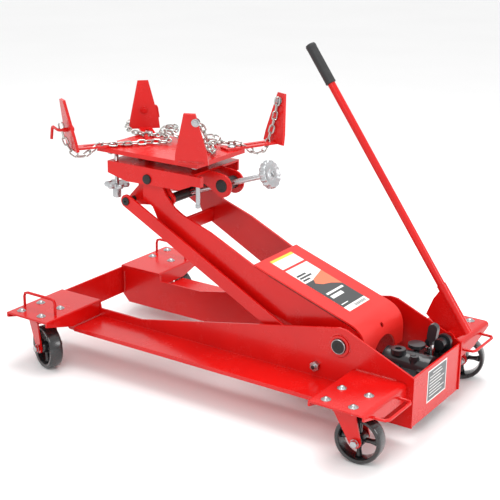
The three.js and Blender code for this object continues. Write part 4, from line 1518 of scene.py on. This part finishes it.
@dataclass
class Head:
    """The head: bracket, channel, trunnions, screws, knobs and the stop bolt."""

    thread_pitch: float = 0.0035
    thread_depth: float = 0.0009

    def build(self) -> None:
        """Makes every piece of the head."""
        settle_dressed("level_bracket", "head", "red_paint", Look.RED)
        self.shaft("head_shaft", "head")
        settle_dressed("front_trunnion", "front_trunnion", "black_oxide", Look.BLACK, 0.0008)
        settle_dressed("tilt_channel", "tilt_channel", "red_paint", Look.RED, 0.0014)
        self.rear_trunnion()
        self.screw("tilt_screw", "tilt_screw", axis_of("tilt_knob_turn"))
        self.screw("side_tilt_screw", "side_tilt_screw", Vector((0, 0, 1)))
        self.tilt_knob()
        self.star_knob()
        self.stop_bolt()

    def shaft(self, node: str, body: str) -> None:
        """Makes a headed cross shaft with rounded heads."""
        low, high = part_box(node)
        middle = (low + high) / 2
        radius = (high.z - low.z) / 2
        half = (high.y - low.y) / 2
        end = [
            (0.0, half),
            (radius * 0.72, half),
            (radius * 0.94, half - 0.0012),
            (radius, half - 0.003),
            (radius, half - 0.006),
        ]
        core = (radius - 0.004, half - 0.006)
        profile = [(r, -h) for r, h in [*end, core]] + [(r, h) for r, h in reversed([*end, core])]
        piece = turned(node + "_piece", middle, Vector((0, 1, 0)), profile, [Look.BLACK], 48)
        settle(piece, body, "black_oxide", node)

    def rear_trunnion(self) -> None:
        """Makes the rear trunnion, a turned bar between the lugs."""
        low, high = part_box("rear_trunnion")
        middle = (low + high) / 2
        radius = (high.z - low.z) / 2
        half = (high.y - low.y) / 2
        end = [
            (0.0, half - 0.0008),
            (radius * 0.5, half - 0.0008),
            (radius * 0.55, half),
            (radius * 0.9, half),
            (radius, half - 0.0015),
        ]
        profile = [(r, -h) for r, h in end] + [(r, h) for r, h in reversed(end)]
        piece = turned("rear_trunnion_piece", middle, Vector((0, 1, 0)), profile, [Look.BLACK], 48)
        settle(piece, "rear_trunnion", "black_oxide", "rear_trunnion")

    def screw(self, node: str, body: str, axis: Vector) -> None:
        """Makes a threaded screw along an axis.

        Args:
            node: the screw's node.
            body: the body that it rides on.
            axis: its direction.
        """
        corners = [v.co for v in frame["nodes"][node].data.vertices]
        middle = middle_of(node)
        along = [(c - middle).dot(axis) for c in corners]
        radius = max(((c - middle) - axis * (c - middle).dot(axis)).length for c in corners)
        low, high = min(along), max(along)
        steps = int((high - low) / self.thread_pitch * 4)
        heights = [low + (high - low) * i / steps for i in range(steps + 1)]
        profile = [(0.0, low), *((radius - 0.0006, h) for h in heights), (0.0, high)]

        def thread(r: float, height: float, angle: float) -> float:
            """Gives the radius on the thread's flank."""
            turn = (height / self.thread_pitch + angle / (2 * math.pi)) % 1.0
            return r + 0.0005 - self.thread_depth * abs(2 * turn - 1)

        piece = turned(node + "_piece", middle, axis, profile, [Look.CHROME], 24, reshape=thread)
        settle(piece, body, "chrome", node)

    def knob(
        self, name: str, place: Vector, axis: Vector, radius: float, thick: float, lobes: int, bite: float
    ) -> bpy.types.Object:
        """Makes a cast hand knob with a dished, scalloped rim.

        Args:
            name: the piece's name.
            place: the middle of its outer face's plane.
            axis: the way that its outer face points.
            radius: over the lobes.
            thick: the rim's thickness.
            lobes: how many.
            bite: depth of the scallops.

        Returns:
            The knob.
        """

        def scallop(r: float, _height: float, angle: float) -> float:
            """Gives the radius in a scallop."""
            share = max(0.0, (r - radius * 0.62) / (radius * 0.38))
            return r - bite * share * (0.5 - 0.5 * math.cos(lobes * angle)) ** 1.4

        profile = [
            (0.0, 0.0),
            (radius * 0.3, 0.0),
            (radius * 0.36, -0.0015),
            (radius * 0.44, -0.005),
            (radius * 0.66, -0.0045),
            (radius * 0.82, -0.001),
            (radius * 0.93, -0.0008),
            (radius, -0.005),
            (radius, -thick + 0.004),
            (radius * 0.93, -thick),
            (radius * 0.8, -thick),
            (radius * 0.6, -thick + 0.003),
            (radius * 0.35, -thick + 0.001),
            (0.0, -thick + 0.001),
        ]
        return turned(name, place, axis, profile, [Look.ALUMINIUM], 120, reshape=scallop)

    def tilt_knob(self) -> None:
        """Makes the big knob on the tilt screw, with its boss and lock nut."""
        axis = axis_of("tilt_knob_turn")
        trunnion = place_of("tilt_knob_turn")
        corners = [(v.co - trunnion) for v in frame["nodes"]["tilt_knob"].data.vertices]
        outer = max(c.dot(axis) for c in corners)
        inner = min(c.dot(axis) for c in corners)
        radius = max((c - axis * c.dot(axis)).length for c in corners)
        rim = self.knob("tilt_knob_rim", trunnion + axis * outer, axis, radius, 0.02, 14, 0.0036)
        seat = outer - 0.012
        boss = [(0.0, seat), (0.0138, seat), (0.0138, inner + 0.002), (0.012, inner), (0.0, inner)]
        back = turned("tilt_knob_boss", trunnion, axis, boss, [Look.ALUMINIUM], 40)
        settle(joined("tilt_knob_piece", [rim, back]), "tilt_screw", "cast_aluminium", "tilt_knob")
        top = trunnion + axis * (outer - 0.0008)
        nut = [(0.0, 0.0066), (0.0064, 0.0066), (0.008, 0.0055), (0.008, 0.0), (0.0, 0.0)]
        settle(turned("tilt_knob_nut", top, axis, nut, [Look.ZINC], 6), "tilt_screw", "zinc")

    def star_knob(self) -> None:
        """Makes the star knob under the channel, on its screw."""
        low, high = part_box("star_knob")
        middle = (low + high) / 2
        radius = (high.x - low.x) / 2
        down = Vector((0, 0, -1))
        rim_bottom = high.z - 0.013
        seat = Vector((middle.x, middle.y, rim_bottom))
        rim = self.knob("star_knob_rim", seat, down, radius, 0.013, 6, 0.012)
        boss = [
            (0.0, rim_bottom + 0.003),
            (0.0125, rim_bottom + 0.003),
            (0.0125, low.z + 0.002),
            (0.0112, low.z),
            (0.0, low.z),
        ]
        place = Vector((middle.x, middle.y, 0))
        hub = turned("star_knob_boss", place, Vector((0, 0, 1)), boss, [Look.ALUMINIUM], 40)
        settle(joined("star_knob_piece", [rim, hub]), "star_knob", "cast_aluminium", "star_knob")

    def stop_bolt(self) -> None:
        """Makes the stop bolt: a plain shank and a hexagon head at its foot."""
        low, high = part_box("stop_bolt")
        place = Vector(((low.x + high.x) / 2, (low.y + high.y) / 2, low.z))
        height = high.z - low.z
        shank = [(0.0, height), (0.0052, height), (0.006, height - 0.001), (0.006, 0.008), (0.0, 0.008)]
        head = [(0.0, 0.009), (0.008, 0.009), (0.008, 0.001), (0.007, 0.0), (0.0, 0.0)]
        up = Vector((0, 0, 1))
        pieces = [
            turned("stop_bolt_shank", place, up, shank, [Look.ZINC], 28),
            turned("stop_bolt_head", place, up, head, [Look.ZINC], 6),
        ]
        settle(joined("stop_bolt_piece", pieces), "tilt_channel", "zinc", "stop_bolt")


@dataclass
class Saddle:
    """The saddle plate, its corner arms with uprights, and their bolts and tensioners."""

    weld_rise: float = 0.009
    weld_half: float = 0.034

    def build(self) -> None:
        """Makes the saddle and everything on it."""
        settle_dressed("saddle_plate", "saddle", "red_paint", Look.RED, 0.0016)
        for corner in CORNERS:
            settle_dressed(f"corner_arm_{corner}", f"arm_{corner}", "red_paint", Look.RED, 0.0014)
            self.bolt(corner)
        for corner in ("front_left", "front_right"):
            settle_dressed(f"tensioner_{corner}", f"tensioner_{corner}", "red_paint", Look.RED, 0.0006)
        for corner in ("rear_left", "rear_right"):
            self.chain_bolt(corner)
            self.foot_weld(corner)

    def bolt(self, corner: str) -> None:
        """Makes a corner arm's dome-headed pivot bolt and its nut."""
        low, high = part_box(f"corner_bolt_{corner}")
        place = Vector(((low.x + high.x) / 2, (low.y + high.y) / 2, low.z))
        height = high.z - low.z
        radius = (high.x - low.x) / 2
        up = Vector((0, 0, 1))
        head = [
            (0.0, height),
            (radius * 0.4, height - 0.0002),
            (radius * 0.72, height - 0.0012),
            (radius * 0.94, height - 0.0032),
            (radius, height - 0.0052),
            (0.0, height - 0.0052),
        ]
        nut = [
            (0.0, 0.0145),
            (0.0092, 0.0145),
            (0.01, 0.0135),
            (0.01, 0.003),
            (0.0092, 0.0018),
            (0.0, 0.0018),
        ]
        shank = [(0.0, height - 0.004), (0.0058, height - 0.004), (0.0058, 0.001), (0.005, 0.0), (0.0, 0.0)]
        pieces = [
            turned(f"{corner}_head", place, up, head, [Look.ZINC], 40),
            turned(f"{corner}_nut", place, up, nut, [Look.ZINC], 6),
            turned(f"{corner}_shank", place, up, shank, [Look.ZINC], 24),
        ]
        piece = joined(f"corner_bolt_{corner}_piece", pieces)
        settle(piece, f"bolt_{corner}", "zinc", f"corner_bolt_{corner}")

    def foot_weld(self, corner: str) -> None:
        """Lays the bead where an upright stands on its bar."""
        upright = upright_of(corner)
        ends = [upright.outer(self.weld_rise, side * self.weld_half) for side in (-1, 1)]
        WeldBead(0.0034, 0.9).lay(f"weld_foot_{corner}", ends, f"arm_{corner}")

    def chain_bolt(self, corner: str) -> None:
        """Makes the bolt near an upright's top that holds a chain's end, and its nut."""
        upright = upright_of(corner)
        aside = 0.016 if corner == "rear_left" else 0.0
        body = f"arm_{corner}"
        rise = 0.122
        bolt, nut = Fastener(0.0085, 0.007, 0.0115), Fastener(0.0085, 0.0075, 0.011)
        outside, inside = upright.outer(rise, aside), upright.inner(rise, aside)
        bolt.place(f"chain_bolt_{corner}", [outside], -upright.normal, body)
        nut.place(f"chain_nut_{corner}", [inside], upright.normal, body)


@dataclass
class Chains:
    """Four runs of chain, one on each corner arm, which lie on the saddle."""

    chain: Chain = field(default_factory=Chain)

    def build(self) -> None:
        """Hangs every run."""
        head = place_of("head_level")

        def route(*places: tuple[float, float, float]) -> list[Vector]:
            """Turns millimetres from the head bolt into places."""
            return [Vector((head.x + x * MM, y * MM, head.z + z * MM)) for x, y, z in places]

        runs = {
            "front_left": route(
                (-232, -208, 134), (-227, -205, 106), (-215, -195, 71), (-201, -190, 57), (-185, -180, 52),
                (-174, -150, 64), (-163, -122, 77), (-133, -89, 77), (-110, -61, 77), (-89, -32, 77),
                (-64, 0, 77), (-34, 22, 78), (-60, 44, 84), (-88, 60, 88),
            ),
            "front_right": route(
                (-240, 172, 120), (-256, 140, 96), (-254, 108, 84), (-232, 84, 79), (-194, 60, 78),
                (-156, 58, 77), (-122, 62, 78), (-96, 84, 82), (-112, 106, 90), (-84, 116, 98),
                (-62, 96, 94), (-82, 76, 99), (-50, 66, 90), (-22, 74, 78),
            ),
            "rear_left": route(
                (172, -134, 190), (182, -112, 176), (180, -92, 150), (170, -74, 118), (158, -44, 92),
                (148, -10, 79), (128, 22, 79), (104, 40, 85), (118, 62, 93), (90, 72, 99),
                (66, 52, 92), (84, 30, 84), (60, 20, 78),
            ),
            "rear_right": route(
                (204, 232, 190), (201, 226, 150), (197, 222, 124), (192, 216, 96), (189, 208, 75),
                (190, 190, 55), (180, 160, 48), (172, 132, 66), (150, 114, 80), (127, 112, 78),
                (92, 106, 78), (62, 96, 80), (40, 78, 88), (58, 58, 94), (34, 46, 86), (14, 60, 78),
            ),
        }
        for seed, (corner, points) in enumerate(runs.items()):
            self.chain.hang(f"chain_{corner}", points, f"arm_{corner}", seed + 11)


@dataclass
class PowerUnit:
    """The hydraulic unit with its ram, plunger and release valve."""

    def build(self) -> None:
        """Makes the unit."""
        settle_dressed("power_unit", "frame", "black_oxide", Look.PUMP_BLACK, 0.0016)
        self.fittings()
        self.round_bar("ram", "ram")
        self.round_bar("pump_plunger", "plunger")
        self.release()

    def round_bar(self, node: str, body: str) -> None:
        """Dresses a chromed bar."""
        settle(dress(node, Look.CHROME, 0.0012), body, "chrome")

    def fittings(self) -> None:
        """Adds the unit's hexagon cap screws and a round valve plug."""
        low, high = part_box("power_unit")
        top = place_of("release").z
        up = Vector((0, 0, 1))
        spots = [
            Vector((high.x - 0.018, low.y + 0.024, top)),
            Vector((high.x - 0.084, low.y + 0.024, top)),
            Vector((high.x - 0.02, high.y - 0.02, top)),
        ]
        Fastener(0.0085, 0.009, 0.0115).place("unit_cap_screws", spots, up, "frame", Look.BLACK)
        plug = Vector((high.x - 0.05, low.y + 0.052, top))
        profile = [
            (0.0, 0.036),
            (0.0055, 0.036),
            (0.0072, 0.0345),
            (0.0072, 0.028),
            (0.0105, 0.0265),
            (0.0105, 0.012),
            (0.0145, 0.0105),
            (0.0145, 0.0),
            (0.0, 0.0),
        ]
        settle(turned("unit_valve", plug, up, profile, [Look.PUMP_BLACK], 32), "frame", "black_oxide")

    def release(self) -> None:
        """Makes the release valve: a chrome spindle with a rounded black lever on top."""
        low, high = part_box("release_valve")
        axis = place_of("release")
        up = Vector((0, 0, 1))
        foot = Vector((axis.x, axis.y, low.z))
        height = high.z - low.z
        spindle = [(0.0, height - 0.03), (0.0058, height - 0.03), (0.0058, 0.001), (0.005, 0.0), (0.0, 0.0)]
        bar = turned("release_spindle", foot, up, spindle, [Look.CHROME], 28)
        lever = dress("release_valve", Look.PUMP_BLACK, 0.003, 3)
        keep_above(lever, axis.z + 0.05)
        settle(joined("release_valve_piece", [bar, lever]), "release_valve", "black_oxide", "release_valve")


def keep_above(piece: bpy.types.Object, height: float) -> None:
    """Cuts a piece off below a height and closes the cut.

    Args:
        piece: the piece to cut.
        height: where it is cut.
    """
    shape = bmesh.new()
    shape.from_mesh(piece.data)
    parts = [*shape.verts, *shape.edges, *shape.faces]
    cut = bmesh.ops.bisect_plane(
        shape, geom=parts, plane_co=(0, 0, height), plane_no=(0, 0, -1), clear_outer=True
    )
    edges = [e for e in cut["geom_cut"] if isinstance(e, bmesh.types.BMEdge)]
    bmesh.ops.holes_fill(shape, edges=edges)
    shape.to_mesh(piece.data)
    shape.free()


@dataclass
class Handle:
    """The pump lever, the socket with its gusset, the handle tube and its grip."""

    ribs: int = 26
    rib_clear: float = 0.024

    def build(self) -> None:
        """Makes the handle."""
        settle_dressed("pump_lever", "handle", "black_oxide", Look.PUMP_BLACK, 0.0014)
        settle_dressed("handle_socket", "handle", "red_paint", Look.RED, 0.0012)
        self.tube()
        self.grip()

    def tube(self) -> None:
        """Makes the tube, smooth and round."""
        bar = bar_of("handle_tube")
        r, end = bar.radius, bar.length
        profile = [(0.0, 0.0), (r * 0.8, 0.0), (r, 0.001), (r, end - 0.001), (r * 0.8, end), (0.0, end)]
        piece = turned("handle_tube_piece", bar.start, bar.axis, profile, [Look.RED], 40)
        settle(piece, "handle", "red_paint", "handle_tube")

    def grip(self) -> None:
        """Makes the rubber grip with a collar, faint ribs and a domed end."""
        bar = bar_of("handle_grip")
        r, end = bar.radius, bar.length
        profile = [(0.0, 0.0), (r * 0.86, 0.0), (r * 0.98, 0.0015), (r, 0.004)]
        span = (end - self.rib_clear) / (self.ribs * 2)
        for i in range(self.ribs * 2 + 1):
            profile.append((r * (0.985 if i % 2 else 0.95), 0.008 + span * i))
        profile += [(r, end - 0.011), (r * 0.99, end - 0.006), (r * 0.86, end - 0.002)]
        profile += [(r * 0.5, end - 0.0002), (0.0, end)]
        piece = turned("handle_grip_piece", bar.start, bar.axis, profile, [Look.GRIP], 48)
        settle(piece, "handle", "grip_rubber", "handle_grip")


@dataclass
class Studio:
    """The camera, the lights and the floor."""

    place: tuple[float, float, float] = (1.7149, -2.6060, 1.4016)
    azimuth: float = 33.55
    elevation: float = 18.35
    roll: float = 0.77
    lens: float = 84.52

    def build(self) -> None:
        """Sets the scene."""
        self.camera()
        self.floor()
        self.lights()

    def camera(self) -> None:
        """Places the camera."""
        a, e, r = (math.radians(v) for v in (self.azimuth, self.elevation, self.roll))
        back = Vector((math.sin(a) * math.cos(e), -math.cos(a) * math.cos(e), math.sin(e)))
        right = Vector((math.cos(a), math.sin(a), 0.0))
        up = back.cross(right)
        across = right * math.cos(r) + up * math.sin(r)
        above = up * math.cos(r) - right * math.sin(r)
        data = bpy.data.cameras.new("camera")
        data.lens = self.lens
        data.sensor_width = 36.0
        camera = bpy.data.objects.new("camera", data)
        bpy.context.scene.collection.objects.link(camera)
        turn = Matrix((across, above, back)).transposed().to_4x4()
        camera.matrix_world = Matrix.Translation(self.place) @ turn
        bpy.context.scene.camera = camera

    def floor(self) -> None:
        """Lays the floor."""
        shape = bmesh.new()
        bmesh.ops.create_grid(shape, x_segments=2, y_segments=2, size=16.0)
        floor = from_bmesh("studio_floor", shape, Look.FLOOR)
        floor.location.z = -0.0005

    def lights(self) -> None:
        """Hangs soft lights over and beside the jack, in a pale room."""
        world = bpy.data.worlds.new("studio")
        bpy.context.scene.world = world
        world.use_nodes = True
        world.node_tree.nodes["Background"].inputs["Color"].default_value = (1.0, 1.0, 1.0, 1.0)
        world.node_tree.nodes["Background"].inputs["Strength"].default_value = 1.0
        bpy.context.scene.view_settings.view_transform = "Standard"
        self.soft_light("key", Vector((0.9, -2.4, 2.8)), 1.2, 24.0)
        self.soft_light("top", Vector((-0.2, 0.6, 3.2)), 2.0, 60.0)
        self.soft_light("side", Vector((3.2, 0.4, 1.6)), 1.0, 22.0)

    def soft_light(self, name: str, place: Vector, size: float, power: float) -> None:
        """Hangs one square light that points at the jack.

        Args:
            name: the light's name.
            place: where it hangs.
            size: its side.
            power: its power in watts.
        """
        data = bpy.data.lights.new(name, "AREA")
        data.size = size
        data.energy = power
        light = bpy.data.objects.new(name, data)
        bpy.context.scene.collection.objects.link(light)
        aim = Vector((0, 0, 0.3)) - place
        light.matrix_world = Matrix.Translation(place) @ aim.to_track_quat("-Z", "Y").to_matrix().to_4x4()


def main() -> None:
    """Builds the studio and every sub-assembly in order."""
    logging.basicConfig(level=logging.INFO, format="%(name)s: %(message)s")
    Studio().build()
    for part in (Base(), Casters(), LiftArm(), Links(), Head(), Saddle(), Chains(), PowerUnit(), Handle()):
        part.build()
        LOG.info("%s is built", type(part).__name__)


if __name__ == "__main__":
    main()
